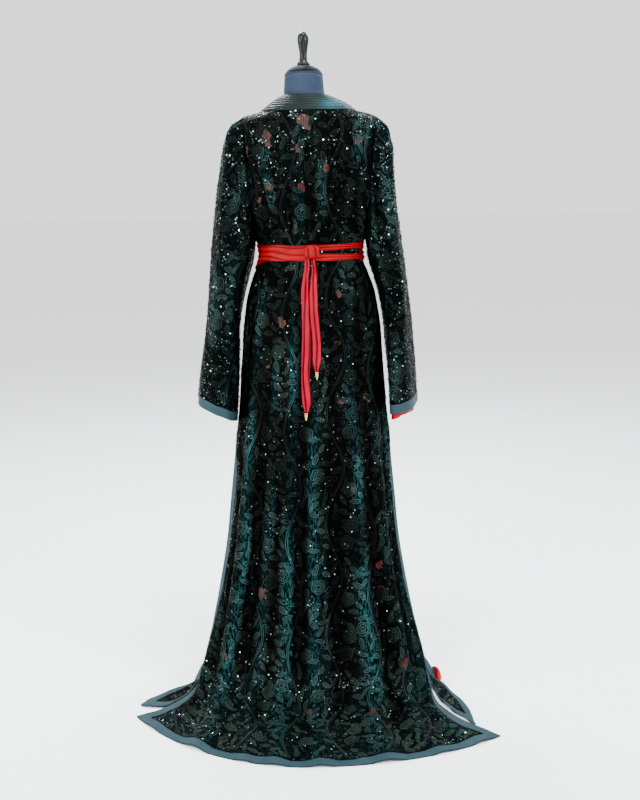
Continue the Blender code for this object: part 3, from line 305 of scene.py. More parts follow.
def backPoint(part, place):
    # part runs from -1 at the left edge to 1 at the right, place is a section number from the neck
    side = "Left" if part < 0 else "Right"
    if place <= slitTop:
        across, along = arc(abs(part), between(bodice, "turn", place))
        x = between(bodice, "half", place) * across
        edge = -between(bodice, "edgeBack", place)
        y = edge + (-between(bodice, "back", place) - edge) * along
        zEdge = between(bodice, "zEdge", place)
        z = zEdge + (between(bodice, "zMid", place) - zEdge) * along
    else:
        row = place - slitTop - 1
        if row < 0:
            above, below = backPoint(part, slitTop), backPoint(part, slitTop + 1)
            return mix(above, below, row + 1)
        across, along = arc(abs(part), between(backSkirt, "turn", row))
        x = between(backSkirt, "half" + side, row) * across
        edge = between(backSkirt, "edge" + side, row)
        y = edge + (between(backSkirt, "depth", row) - edge) * along
        z = between(backSkirt, "z", row)
    return np.array([math.copysign(x, part), y, z])


def frontPoint(part, place):
    # part runs from 1 at the right edge over 0 at the middle of the front to -1 at the left edge
    side = "Left" if part < 0 else "Right"
    reach = abs(part)
    if place <= slitTop:
        across, along = arc(reach, between(bodice, "turn", place))
        x = between(bodice, "half", place) * across
        edge = between(bodice, "edgeFront", place)
        y = edge + (between(bodice, "front", place) - edge) * along
        z = between(bodice, "zEdge", place)
    else:
        row = place - slitTop - 1
        if row < 0:
            above, below = frontPoint(part, slitTop), frontPoint(part, slitTop + 1)
            return mix(above, below, row + 1)
        corner = between(frontSkirt, "half" + side, row), between(frontSkirt, "edge" + side, row)
        depth = between(frontSkirt, "depth", row)
        z = between(frontSkirt, "z", row)
        named = frontSkirt[int(round(row))].name
        if named in frontBendHalf:
            bend = frontBendHalf[named], frontBendEdge[named]
            across, along = arc(min(reach / frontBend, 1.0), quarterTurn)
            x, y = bend[0] * across, bend[1] + (depth - bend[1]) * along
            straight = max(reach - frontBend, 0.0) / (1.0 - frontBend)
            x, y = mix(x, corner[0], straight), mix(y, corner[1], straight)
            x += frontHemBulge.get(named, 0.0) * math.sin(math.pi * straight)
        else:
            across, along = arc(reach, quarterTurn)
            x, y = corner[0] * across, corner[1] + (depth - corner[1]) * along
    return np.array([math.copysign(x, part), y, z])


def lean(points):
    # The kaftan and the form's body hang a little to the right of the neck and the foot
    z = points[..., 2]
    shift = ease((z - leanStart) / leanReach) * (1.0 - ease((z - neckLeanTop) / neckLeanReach))
    points[..., 0] += leanShift * shift
    return points


def skirtRise(part, place, folds):
    # How far the cloth stands out from its plain section here
    settle = mix(1.0, hemSettle, min(max((place - hem + floorRows + 1) / (floorRows + 1), 0.0), 1.0))
    fade = (1.0 - abs(part) ** 10) * settle
    rise = 0.0
    for fold in folds:
        share = ease((place - fold.start) / 12.0)
        centre = mix(fold.waist, fold.hem, share)
        rise += fold.height * share * bell(part - centre, fold.width)
    return rise * fade


def gatherRise(part, z, gathers):
    offBelt = abs(z - waistHeight) - gatherStart
    if offBelt <= 0 or offBelt > gatherReach:
        return 0.0
    swell = ease(offBelt / 0.02) * (1.0 - ease(offBelt / gatherReach))
    wander = 0.35 * math.sin(5.0 * part + 1.0)
    wave = math.cos(2.0 * math.pi * gathers * part + wander)
    return gatherHeight * swell * wave * (1.0 - abs(part) ** 10)


def bodiceRise(part, place):
    share = ease((underarm + 2 - place) / (underarm + 2.0))
    rise = 0.0
    for crease in backRises:
        swell = math.sin(math.pi * min(max((underarm - place) / (underarm - 1.0), 0.0), 1.0))
        rise += crease.height * swell * bell(part - mix(crease.waist, crease.top, share), crease.width)
    return rise * (1.0 - abs(part) ** 6)


def unit(vectors):
    return vectors / np.maximum(np.linalg.norm(vectors, axis=-1, keepdims=True), 1e-12)


def normalsOf(grid, wrap=False):
    # Outward direction at each point of a grid whose rows run down and whose columns run
    # anticlockwise seen from above
    if wrap:
        along = np.roll(grid, -1, axis=1) - np.roll(grid, 1, axis=1)
    else:
        along = np.gradient(grid, axis=1)
    down = np.gradient(grid, axis=0)
    return unit(np.cross(down, along))


def liftOffFloor(points, least):
    points[..., 2] = np.maximum(points[..., 2], least)


def hemRow(grid, width, spread=0):
    # Adds a row one trim's width above the last one, and spaces the few rows over it evenly
    start = grid.shape[0] - 2 - spread
    foot = grid[start:]
    steps = np.linalg.norm(np.diff(foot, axis=0), axis=-1)
    lengths = np.concatenate([np.zeros((1, grid.shape[1])), np.cumsum(steps, axis=0)])
    shares = np.linspace(0.0, 1.0, spread + 2)
    rows = []
    for columnIndex in range(grid.shape[1]):
        length = lengths[:, columnIndex]
        stops = np.append(shares * (length[-1] - width), length[-1])
        rows.append([
            [np.interp(stop, length, foot[:, columnIndex, axis]) for axis in range(3)] for stop in stops])
    return np.concatenate([grid[:start], np.array(rows).transpose(1, 0, 2)])


def trimShare(pointsAt, sign, place):
    # The share of the half arc that one trim's width takes at a slit edge
    edge = pointsAt(sign, place)
    near, far = 0.0, 0.4
    for _ in range(30):
        middle = (near + far) / 2.0
        if np.linalg.norm(pointsAt(sign * (1.0 - middle), place) - edge) < trimWidth:
            near = middle
        else:
            far = middle
    return far


def cutFiner(values, times):
    # cuts every step of a row of numbers into equal parts
    count = len(values)
    return np.interp(np.arange((count - 1) * times + 1) / times, np.arange(count), values)


def backParts(place):
    if place <= underarm:
        return np.linspace(-1.0, 1.0, backColumns * fine["back"] + 1)
    left = trimShare(backPoint, -1.0, place)
    right = trimShare(backPoint, 1.0, place)
    coarse = np.concatenate([[-1.0], np.linspace(left - 1.0, 1.0 - right, backColumns - 1), [1.0]])
    return cutFiner(coarse, fine["back"])


def frontParts(sign, place):
    if place <= underarm:
        return np.linspace(1.0, 0.0, frontColumns * fine["front"] + 1)
    share = trimShare(frontPoint, sign, place)
    coarse = np.concatenate([[1.0], np.linspace(1.0 - share, 0.0, frontColumns)])
    return cutFiner(coarse, fine["front"])


def backGrid():
    rows = []
    rises = []
    for place in range(1, hem + 1):
        level = backParts(place)
        shown = 1.5 if place == 1 else place
        rows.append([backPoint(part, shown) for part in level])
        rises.append([
            skirtRise(part, shown, backFolds) + bodiceRise(part, shown)
            + gatherRise(part, rows[-1][index][2], backGathers)
            for index, part in enumerate(level)])
    top = []
    for part in backParts(0):
        if abs(part) < neckCorner - 1e-9:
            top.append(backPoint(part / neckCorner, 0))
        else:
            share = (abs(part) - neckCorner) / (1.0 - neckCorner)
            top.append(backPoint(math.copysign(1.0, part), share))
    rows.insert(0, top)
    rises.insert(0, [0.0] * len(top))
    grid = np.array(rows)
    rise = np.array(rises)
    grid = hemRow(grid + normalsOf(grid) * rise[..., None], trimWidth, floorRows)
    liftOffFloor(grid, cloth / 2.0)
    return grid


def neckV(way, field):
    return float(np.interp(way, column(neckLine, "way"), column(neckLine, field)))


def frontPlaceOf(z):
    heights = column(bodice, "zEdge")
    return float(np.interp(-z, -heights, range(len(heights))))


def frontStart(index):
    # Part and place where a front column starts: on the shoulder seam, then on the neck's V
    if index <= shoulderColumns:
        return 1.0, 1.0 - index / shoulderColumns
    way = (index - shoulderColumns) / vColumns
    place = frontPlaceOf(neckV(way, "outerZ"))
    half = between(bodice, "half", place)
    turn = between(bodice, "turn", place)
    part = math.asin(min(neckV(way, "outerX") / half * math.sin(turn), 1.0)) / turn
    return part, place


def frontGrid(side):
    # Columns run from the side edge to the middle; the left one is mirrored in its order later
    sign = -1.0 if side == "left" else 1.0
    rows = []
    rises = []
    for place in range(1, hem + 1):
        level = []
        places = []
        shift = frontParts(sign, place)
        for step in range(len(shift)):
            index = step / fine["front"]
            part, start = frontStart(index)
            share = min(place / underarm, 1.0)
            levelPlace = 1.5 if place == 1 else place
            if share < 1.0 and index > shoulderColumns:
                part = mix(part, shift[step], share)
                start = mix(start, underarm, share)
            elif share < 1.0:
                part = shift[step]
                start = mix(levelPlace, mix(1.0, underarm, share), index / shoulderColumns)
            else:
                part = shift[step]
                start = place
            level.append(part)
            places.append(start)
        rows.append([frontPoint(sign * part, start) for part, start in zip(level, places)])
        rises.append([
            skirtRise(part, start, frontFolds) * ease(part / 0.08)
            + gatherRise(part, point[2], frontGathers) * ease(part / 0.08)
            for part, start, point in zip(level, places, rows[-1])])
    top = []
    for step in range(frontColumns * fine["front"] + 1):
        part, start = frontStart(step / fine["front"])
        top.append(frontPoint(sign * part, start))
    rows.insert(0, top)
    rises.insert(0, [0.0] * len(top))
    grid = np.array(rows)
    grid[:, -1, 0] = 0.0
    rise = np.array(rises)
    if side == "left":
        grid = grid[:, ::-1]
        rise = rise[:, ::-1]
    grid = hemRow(grid + normalsOf(grid) * rise[..., None], trimWidth, floorRows)
    liftOffFloor(grid, cloth / 2.0)
    return grid


def sleeveLevel(z, field):
    return float(np.interp(-z, -column(sleeve, "z"), column(sleeve, field)))


def sleeveSection(angle, z, side):
    # angle is 0 at the inner line, a quarter turn at the back and a half turn at the outer line
    outer = sleeveLevel(z, "outer")
    inner = sleeveLevel(z, "inner")
    cuff = cuffs[side]
    outer += cuff.flare * ease((cuffFlareTop - z) / cuffFlareReach)
    outer += sleevePlumb[side] * ease((sleevePlumbTop - z) / sleevePlumbReach)
    centre = (outer + inner) / 2.0
    half = (outer - inner) / 2.0
    across = -math.cos(angle)
    depth = math.sin(angle)
    x = centre + half * math.copysign(abs(across) ** sleeveSquareness, across)
    y = -sleeveLevel(z, "depth") * math.copysign(abs(depth) ** sleeveSquareness, depth)
    return x + sleeveSkew * y * ease((bodice[underarm].zEdge - z) / sleeveSkewReach), y


def sleeveGrid(side, armhole):
    # armhole holds the points from the underarm up the back, over the shoulder, down the front
    count = len(armhole)
    sign = -1.0 if side == "left" else 1.0
    cuff = cuffs[side]
    rows = []
    for ring in range(sleeveRings + 1):
        share = ring / sleeveRings
        row = []
        for index, start in enumerate(armhole):
            angle = 2.0 * math.pi * index / count
            endZ = mix(cuff.innerZ, cuff.outerZ, (1.0 - math.cos(angle)) / 2.0)
            quick = mix(1.0, 1.35, (1.0 - math.cos(angle)) / 2.0)
            z = mix(start[2], endZ, share ** quick)
            x, y = sleeveSection(angle, z, side)
            blend = mix(sleeveTopBlend, sleeveBlend, math.sin(angle) ** 2)
            hold = 1.0 - ease(share / blend)
            x = mix(x, abs(start[0]), hold)
            y = mix(y, start[1], hold)
            row.append((sign * x, y, z))
        rows.append(row)
    return hemRow(np.array(rows), trimWidth)

# meshes from nets of points
def smoothAlong(values, stations, wanted):
    # a smooth curve through rows of values that stand at uneven stations
    slopes = np.gradient(values, stations, axis=0)
    index = np.clip(np.searchsorted(stations, wanted, side="right") - 1, 0, len(stations) - 2)
    gap = stations[index + 1] - stations[index]
    t = ((wanted - stations[index]) / gap).reshape(-1, *([1] * (values.ndim - 1)))
    gap = gap.reshape(t.shape)
    start, end = values[index], values[index + 1]
    leave, arrive = slopes[index] * gap, slopes[index + 1] * gap
    return (
        start * (2 * t ** 3 - 3 * t ** 2 + 1) + leave * (t ** 3 - 2 * t ** 2 + t)
        + end * (3 * t ** 2 - 2 * t ** 3) + arrive * (t ** 3 - t ** 2))


def refineRows(grid, times):
    steps = np.linalg.norm(np.diff(grid, axis=0), axis=-1).mean(axis=1)
    stations = np.concatenate([[0.0], np.cumsum(steps)])
    return smoothAlong(grid, stations, cutFiner(stations, times))


def flatOf(grid, middle):
    # where each point lay before sewing: across from the middle column, down from the top row
    across = np.concatenate(
        [np.zeros((grid.shape[0], 1)), np.cumsum(np.linalg.norm(np.diff(grid, axis=1), axis=-1), axis=1)],
        axis=1)
    across -= across[:, middle:middle + 1]
    down = np.linalg.norm(np.diff(grid, axis=0), axis=-1).mean(axis=1)
    down = np.concatenate([[0.0], np.cumsum(down)])
    return np.stack([across, np.broadcast_to(down[:, None], across.shape)], axis=-1)


def meshPiece(name, points, faces, material, flat=None, marks=None, smooth=True, flatFaces=None):
    # faces is an array of equal polygons; flat gives the cloth's own coordinates point by point
    mesh = bpy.data.meshes.new(name)
    faces = np.asarray(faces, dtype=np.int32)
    sides = faces.shape[1]
    mesh.vertices.add(len(points))
    mesh.vertices.foreach_set("co", np.asarray(points, dtype=np.float32).ravel())
    mesh.loops.add(faces.size)
    mesh.loops.foreach_set("vertex_index", faces.ravel())
    mesh.polygons.add(len(faces))
    mesh.polygons.foreach_set("loop_start", np.arange(0, faces.size, sides, dtype=np.int32))
    mesh.update(calc_edges=True)
    mesh.validate()
    mesh.polygons.foreach_set("use_smooth", np.full(len(mesh.polygons), smooth))
    if flat is not None:
        layer = mesh.uv_layers.new(name="flat")
        corners = faces if flatFaces is None else flatFaces
        layer.data.foreach_set("uv", np.asarray(flat, dtype=np.float32)[corners.ravel()].ravel())
    for mark, values in (marks or {}).items():
        attribute = mesh.attributes.new(mark, "FLOAT", "POINT")
        attribute.data.foreach_set("value", np.asarray(values, dtype=np.float32).ravel())
    piece = bpy.data.objects.new(name, mesh)
    bpy.context.scene.collection.objects.link(piece)
    mesh.materials.append(material)
    return piece


def netFaces(rows, columns, wrap=False, keep=None):
    row, col = np.meshgrid(np.arange(rows - 1), np.arange(columns if wrap else columns - 1), indexing="ij")
    row, col = row.ravel(), col.ravel()
    if keep is not None:
        chosen = keep(row, col)
        row, col = row[chosen], col[chosen]
    far = (col + 1) % columns
    return np.stack(
        [row * columns + col, (row + 1) * columns + col, (row + 1) * columns + far, row * columns + far],
        axis=1)


def closedFaces(rows, columns, wrap=False, keep=None):
    # both sides of a cloth wall and the border that joins them, for points listed outer then inner
    outer = netFaces(rows, columns, wrap, keep)
    count = rows * columns
    edges = np.concatenate([outer[:, [k, (k + 1) % 4]] for k in range(4)])
    code = edges[:, 0].astype(np.int64) * count + edges[:, 1]
    back = edges[:, 1].astype(np.int64) * count + edges[:, 0]
    free = edges[~np.isin(code, back)]
    rim = np.stack([free[:, 1], free[:, 0], free[:, 0] + count, free[:, 1] + count], axis=1)
    return np.concatenate([outer, outer[:, ::-1] + count, rim])


def usedOnly(points, faces, *others):
    used, faces = np.unique(faces, return_inverse=True)
    return points[used], faces.reshape(-1, 4), *[other[used] for other in others]


def wallPiece(name, outer, inner, material, flat=None, wrap=False, keep=None, marks=None):
    rows, columns = outer.shape[:2]
    points = np.concatenate([outer.reshape(-1, 3), inner.reshape(-1, 3)])
    faces = closedFaces(rows, columns, wrap, keep)
    flat = np.zeros((rows, columns, 2)) if flat is None else flat
    flat = np.concatenate([flat.reshape(-1, 2)] * 2)
    names = list(marks or {})
    values = [np.concatenate([marks[name].ravel()] * 2) for name in names]
    points, faces, flat, *values = usedOnly(points, faces, flat, *values)
    return meshPiece(name, lean(points), faces, material, flat, dict(zip(names, values)))


def ringPiece(name, rings, material, marks=None):
    # a closed shell through equal rings, from the foot up, with a small cap of quads at each end
    rings = np.array(rings)
    levels, count = rings.shape[:2]
    faces = netFaces(levels, count, wrap=True)[:, ::-1]
    points = rings.reshape(-1, 3)
    caps = []
    for level, flip in ((0, True), (levels - 1, False)):
        centre = len(points)
        points = np.concatenate([points, rings[level].mean(axis=0, keepdims=True)])
        for k in range(0, count, 2):
            ring = [level * count + (k + step) % count for step in range(3)]
            quad = [centre, ring[0], ring[1], ring[2]]
            caps.append(quad[::-1] if flip else quad)
    marks = {mark: np.concatenate([values, [0.5, 0.5]]) for mark, values in (marks or {}).items()}
    return meshPiece(name, points, np.concatenate([faces, np.array(caps)]), material, marks=marks)


def seat(piece, slot, *nodes):
    # every piece here rides with the one body
    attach(piece, "root")
    if nodes:
        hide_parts(*nodes)
    return piece


# finishes
def newFinish(name, roughness, metallic=0.0, sheen=0.0, sheenTint=(1, 1, 1), coat=0.0, shine=0.5):
    material = bpy.data.materials.new(name)
    material.use_nodes = True
    tree = material.node_tree
    shader = tree.nodes["Principled BSDF"]
    shader.inputs["Roughness"].default_value = roughness
    shader.inputs["Metallic"].default_value = metallic
    shader.inputs["Sheen Weight"].default_value = sheen
    shader.inputs["Sheen Roughness"].default_value = 0.35
    shader.inputs["Sheen Tint"].default_value = (*sheenTint, 1)
    shader.inputs["Coat Weight"].default_value = coat
    shader.inputs["Specular IOR Level"].default_value = shine
    return material, tree, shader


def addNode(tree, kind, inputs=None, **settings):
    node = tree.nodes.new(kind)
    for key, value in settings.items():
        setattr(node, key, value)
    for key, value in (inputs or {}).items():
        if isinstance(value, bpy.types.NodeSocket):
            tree.links.new(value, node.inputs[key])
        else:
            node.inputs[key].default_value = value
    return node


def flatCoordinates(tree, scale):
    # the cloth's own metres, scaled
    flat = addNode(tree, "ShaderNodeUVMap", uv_map="flat")
    mapping = addNode(tree, "ShaderNodeMapping", {"Vector": flat.outputs["UV"], "Scale": scale})
    return mapping.outputs["Vector"]


def objectCoordinates(tree, scale):
    spot = addNode(tree, "ShaderNodeTexCoord")
    return addNode(
        tree, "ShaderNodeMapping", {"Vector": spot.outputs["Object"], "Scale": scale}).outputs["Vector"]


def mixColour(tree, share, low, high, blend="MIX"):
    node = tree.nodes.new("ShaderNodeMix")
    node.data_type = "RGBA"
    node.blend_type = blend
    for socket, value in ((0, share), (6, low), (7, high)):
        if isinstance(value, bpy.types.NodeSocket):
            tree.links.new(value, node.inputs[socket])
        else:
            node.inputs[socket].default_value = value if socket == 0 else (*value, 1)
    return node.outputs[2]


def ramp(tree, value, low, high):
    node = addNode(tree, "ShaderNodeMapRange", {"Value": value, "From Min": low, "From Max": high})
    return node.outputs["Result"]


def calculate(tree, operation, first, second):
    return addNode(tree, "ShaderNodeMath", {0: first, 1: second}, operation=operation).outputs[0]


def noiseAt(tree, vector, scale, detail=2.0, output="Fac"):
    return addNode(
        tree, "ShaderNodeTexNoise", {"Vector": vector, "Scale": scale, "Detail": detail}).outputs[output]


def bumpInto(tree, shader, height, strength, distance):
    bump = addNode(
        tree, "ShaderNodeBump", {"Height": height, "Strength": strength, "Distance": distance})
    tree.links.new(bump.outputs["Normal"], shader.inputs["Normal"])
    return bump


# tiny sequins woven over the pile: every cell of the net tilts its own way
glitter = {"cell": 430.0, "tilt": 0.85, "dark": (0.0012, 0.0024, 0.0022), "bright": (0.010, 0.021, 0.019)}


def paintFoldShade(tree, colour):
    # painted shade: the colour is darkened where the shade mark says little light reaches the bottom of a
    # fold
    shade = addNode(tree, "ShaderNodeAttribute", attribute_name="shade").outputs["Fac"]
    left = addNode(
        tree, "ShaderNodeMapRange",
        {"Value": shade, "From Min": 0.0, "From Max": 1.0, "To Min": 1.0, "To Max": 0.10}).outputs[0]
    return addNode(
        tree, "ShaderNodeVectorMath", {0: colour, "Scale": left}, operation="SCALE").outputs[0]


def sequinFinish(name, ground, lit, share, shareLit, roughness=0.62):
    # dark pile with sequins on a share of it; a mark paints a teal highlight on the light side of each fold,
    # and the base colour is darkened by painted shade in the folds' valleys
    material, tree, shader = newFinish(
        name, roughness, sheen=0.003, sheenTint=(0.20, 0.75, 0.75), shine=0.012)
    flat = flatCoordinates(tree, (1, 1, 1))
    glow = addNode(tree, "ShaderNodeAttribute", attribute_name="glow").outputs["Fac"]
    dense = addNode(tree, "ShaderNodeAttribute", attribute_name="dense").outputs["Fac"]
    large = noiseAt(tree, flat, 9.0, 3.0)
    patch = ramp(tree, large, 0.35, 0.65)
    pile = mixColour(tree, patch, ground[0], ground[1])
    # painted highlight: the pile turns teal in broken streaks where the highlight mark is high
    streak = addNode(tree, "ShaderNodeMapping", {"Vector": flat, "Scale": (1.0, 0.28, 1.0)}).outputs[0]
    broken = ramp(tree, noiseAt(tree, streak, 210.0, 4.0), 0.46, 0.62)
    lightSide = calculate(tree, "MULTIPLY", glow, broken)
    pile = mixColour(tree, lightSide, pile, lit)
    cells = addNode(tree, "ShaderNodeTexVoronoi", {"Vector": flat, "Scale": glitter["cell"]})
    hue = addNode(tree, "ShaderNodeSeparateColor", {"Color": cells.outputs["Color"]})
    cover = addNode(
        tree, "ShaderNodeMapRange",
        {"Value": dense, "From Min": 0.0, "From Max": 1.0, "To Min": share, "To Max": shareLit}).outputs[0]
    isSequin = calculate(tree, "LESS_THAN", hue.outputs["Red"], cover)
    paillette = mixColour(tree, hue.outputs["Green"], glitter["dark"], glitter["bright"])
    colour = mixColour(tree, isSequin, pile, paillette)
    tree.links.new(paintFoldShade(tree, colour), shader.inputs["Base Color"])
    tree.links.new(isSequin, shader.inputs["Metallic"])
    rough = addNode(
        tree, "ShaderNodeMapRange",
        {"Value": isSequin, "From Min": 0.0, "From Max": 1.0, "To Min": roughness, "To Max": 0.22})
    tree.links.new(rough.outputs[0], shader.inputs["Roughness"])
    centred = addNode(
        tree, "ShaderNodeVectorMath", {0: cells.outputs["Color"], 1: (0.5, 0.5, 0.5)}, operation="SUBTRACT")
    tilt = calculate(tree, "MULTIPLY", isSequin, glitter["tilt"])
    tilted = addNode(
        tree, "ShaderNodeVectorMath", {0: centred.outputs[0], "Scale": tilt}, operation="SCALE")
    bump = addNode(
        tree, "ShaderNodeBump",
        {"Height": noiseAt(tree, flat, 420.0, 2.0), "Strength": 0.35, "Distance": 0.0006})
    normal = addNode(
        tree, "ShaderNodeVectorMath", {0: bump.outputs["Normal"], 1: tilted.outputs[0]}, operation="ADD")
    normal = addNode(tree, "ShaderNodeVectorMath", {0: normal.outputs[0]}, operation="NORMALIZE")
    tree.links.new(normal.outputs[0], shader.inputs["Normal"])
    return material


def threadFinish(name, colour, lit, roughness=0.5):
    # raised outlines of fine twisted thread
    material, tree, shader = newFinish(name, roughness, sheen=0.006, sheenTint=(0.5, 0.8, 0.75), shine=0.06)
    flat = flatCoordinates(tree, (1, 1, 1))
    glow = addNode(tree, "ShaderNodeAttribute", attribute_name="glow").outputs["Fac"]
    worn = ramp(tree, noiseAt(tree, flat, 40.0, 3.0), 0.30, 0.70)
    base = mixColour(tree, worn, tuple(0.45 * value for value in colour), colour)
    faint = tuple(0.22 * value for value in colour)
    base = mixColour(tree, ramp(tree, noiseAt(tree, flat, 11.0, 2.0), 0.32, 0.60), faint, base)
    # painted teal highlight on the light side of folds, and painted shade in their valleys
    tree.links.new(paintFoldShade(tree, mixColour(tree, glow, base, lit)), shader.inputs["Base Color"])
    twist = addNode(
        tree, "ShaderNodeTexWave", {"Vector": flat, "Scale": 260.0, "Distortion": 1.5},
        bands_direction="DIAGONAL")
    bumpInto(tree, shader, twist.outputs["Fac"], 0.4, 0.0004)
    return material


def braidFinish(name, colour, light, ribScale, bands="Y", roughness=0.55, lit=None):
    # woven braid: a fine diagonal weave with soft stripes along it
    material, tree, shader = newFinish(name, roughness, sheen=0.006, sheenTint=(0.6, 0.85, 0.9), shine=0.08)
    flat = flatCoordinates(tree, (1, 1, 1))
    stripe = addNode(
        tree, "ShaderNodeTexWave", {"Vector": flat, "Scale": ribScale, "Distortion": 0.6, "Detail": 1.0},
        bands_direction=bands)
    cloud = ramp(tree, noiseAt(tree, flat, 14.0, 3.0), 0.30, 0.72)
    weave = addNode(
        tree, "ShaderNodeTexWave", {"Vector": flat, "Scale": 300.0, "Distortion": 0.3},
        bands_direction="DIAGONAL")
    base = mixColour(tree, cloud, colour, light)
    dark = mixColour(tree, ramp(tree, stripe.outputs["Fac"], 0.0, 0.7), tuple(0.55 * v for v in colour), base)
    if lit:
        # painted teal highlight where the highlight mark is high
        glow = addNode(tree, "ShaderNodeAttribute", attribute_name="glow").outputs["Fac"]
        dark = mixColour(tree, glow, dark, lit)
        # painted shade: the colour darkens in the grooves between ribs, where the fold mark is low
        fold = addNode(tree, "ShaderNodeAttribute", attribute_name="fold").outputs["Fac"]
        dark = mixColour(tree, ramp(tree, fold, 0.0, 0.7), tuple(0.25 * v for v in colour), dark)
    tree.links.new(dark, shader.inputs["Base Color"])
    height = calculate(tree, "ADD", stripe.outputs["Fac"], calculate(
        tree, "MULTIPLY", weave.outputs["Fac"], 0.4))
    bumpInto(tree, shader, height, 0.5, 0.0006)
    return material


def satinFinish(name, colour, deep, roughness=0.34, shadedCreases=False):
    material, tree, shader = newFinish(name, roughness, sheen=0.0, shine=0.06)
    spot = objectCoordinates(tree, (1, 1, 1))
    cloud = ramp(tree, noiseAt(tree, spot, 26.0, 3.0), 0.25, 0.75)
    base = mixColour(tree, ramp(tree, cloud, -0.6, 0.8), deep, colour)
    if shadedCreases:
        # painted shade: the satin darkens towards a deeper red in its creases, where the fold mark is low
        fold = addNode(tree, "ShaderNodeAttribute", attribute_name="fold").outputs["Fac"]
        crease = tuple(0.26 * value for value in deep)
        base = mixColour(tree, ramp(tree, fold, 0.0, 0.42), crease, base)
    tree.links.new(base, shader.inputs["Base Color"])
    shader.inputs["Anisotropic"].default_value = 0.4
    weave = addNode(tree, "ShaderNodeTexWave", {"Vector": spot, "Scale": 900.0}, bands_direction="DIAGONAL")
    wrinkle = noiseAt(tree, spot, 90.0, 3.0)
    height = calculate(tree, "ADD", wrinkle, calculate(tree, "MULTIPLY", weave.outputs["Fac"], 0.10))
    bumpInto(tree, shader, height, 0.45, 0.0018)
    return material


def jerseyFinish(name, colour, light, top=None):
    # fine knitted jersey: rows of small stitches
    material, tree, shader = newFinish(name, 0.82, sheen=0.03, sheenTint=(0.7, 0.8, 1.0), shine=0.10)
    spot = objectCoordinates(tree, (1, 1, 1))
    cloud = noiseAt(tree, spot, 18.0, 4.0)
    base = mixColour(tree, cloud, colour, light)
    if top:
        # the dark top fades into the neck's own jersey
        height = addNode(tree, "ShaderNodeSeparateXYZ", {"Vector": spot}).outputs["Z"]
        base = mixColour(tree, ramp(tree, height, top[0], top[1]), top[2], base)
    tree.links.new(base, shader.inputs["Base Color"])
    across = addNode(tree, "ShaderNodeTexWave", {"Vector": spot, "Scale": 320.0}, bands_direction="X")
    down = addNode(tree, "ShaderNodeTexWave", {"Vector": spot, "Scale": 260.0}, bands_direction="Z")
    height = calculate(tree, "MULTIPLY", across.outputs["Fac"], down.outputs["Fac"])
    bumpInto(tree, shader, height, 0.5, 0.0006)
    return material


def polishFinish(name, colour, light, roughness, metallic=0.0, coat=0.0, grain=60.0, shine=0.5):
    material, tree, shader = newFinish(name, roughness, metallic=metallic, coat=coat, shine=shine)
    spot = objectCoordinates(tree, (1, 1, 0.12))
    streaks = noiseAt(tree, spot, grain, 4.0)
    tree.links.new(mixColour(tree, streaks, colour, light), shader.inputs["Base Color"])
    rough = addNode(
        tree, "ShaderNodeMapRange",
        {"Value": streaks, "From Min": 0.2, "From Max": 0.8,
         "To Min": roughness * 0.75, "To Max": roughness * 1.35})
    tree.links.new(rough.outputs[0], shader.inputs["Roughness"])
    bumpInto(tree, shader, streaks, 0.04, 0.0003)
    return material


def windowFinish(name, colour, deep):
    # bare ground cloth where the pile is worn through: fine upright pleats
    material, tree, shader = newFinish(name, 0.6, sheen=0.02, shine=0.10)
    flat = flatCoordinates(tree, (1, 1, 1))
    pleats = addNode(
        tree, "ShaderNodeTexWave", {"Vector": flat, "Scale": 55.0, "Distortion": 3.0, "Detail": 2.0},
        bands_direction="X")
    tree.links.new(mixColour(tree, pleats.outputs["Fac"], deep, colour), shader.inputs["Base Color"])
    bumpInto(tree, shader, pleats.outputs["Fac"], 0.6, 0.0008)
    return material


def sequinDiscFinish(name, dark, bright):
    material, tree, shader = newFinish(name, 0.20, metallic=1.0)
    tone = addNode(tree, "ShaderNodeAttribute", attribute_name="tone").outputs["Fac"]
    strong = calculate(tree, "POWER", tone, 2.6)
    tree.links.new(mixColour(tree, strong, dark, bright), shader.inputs["Base Color"])
    rough = addNode(
        tree, "ShaderNodeMapRange",
        {"Value": tone, "From Min": 0.0, "From Max": 1.0, "To Min": 0.34, "To Max": 0.16})
    tree.links.new(rough.outputs[0], shader.inputs["Roughness"])
    return material
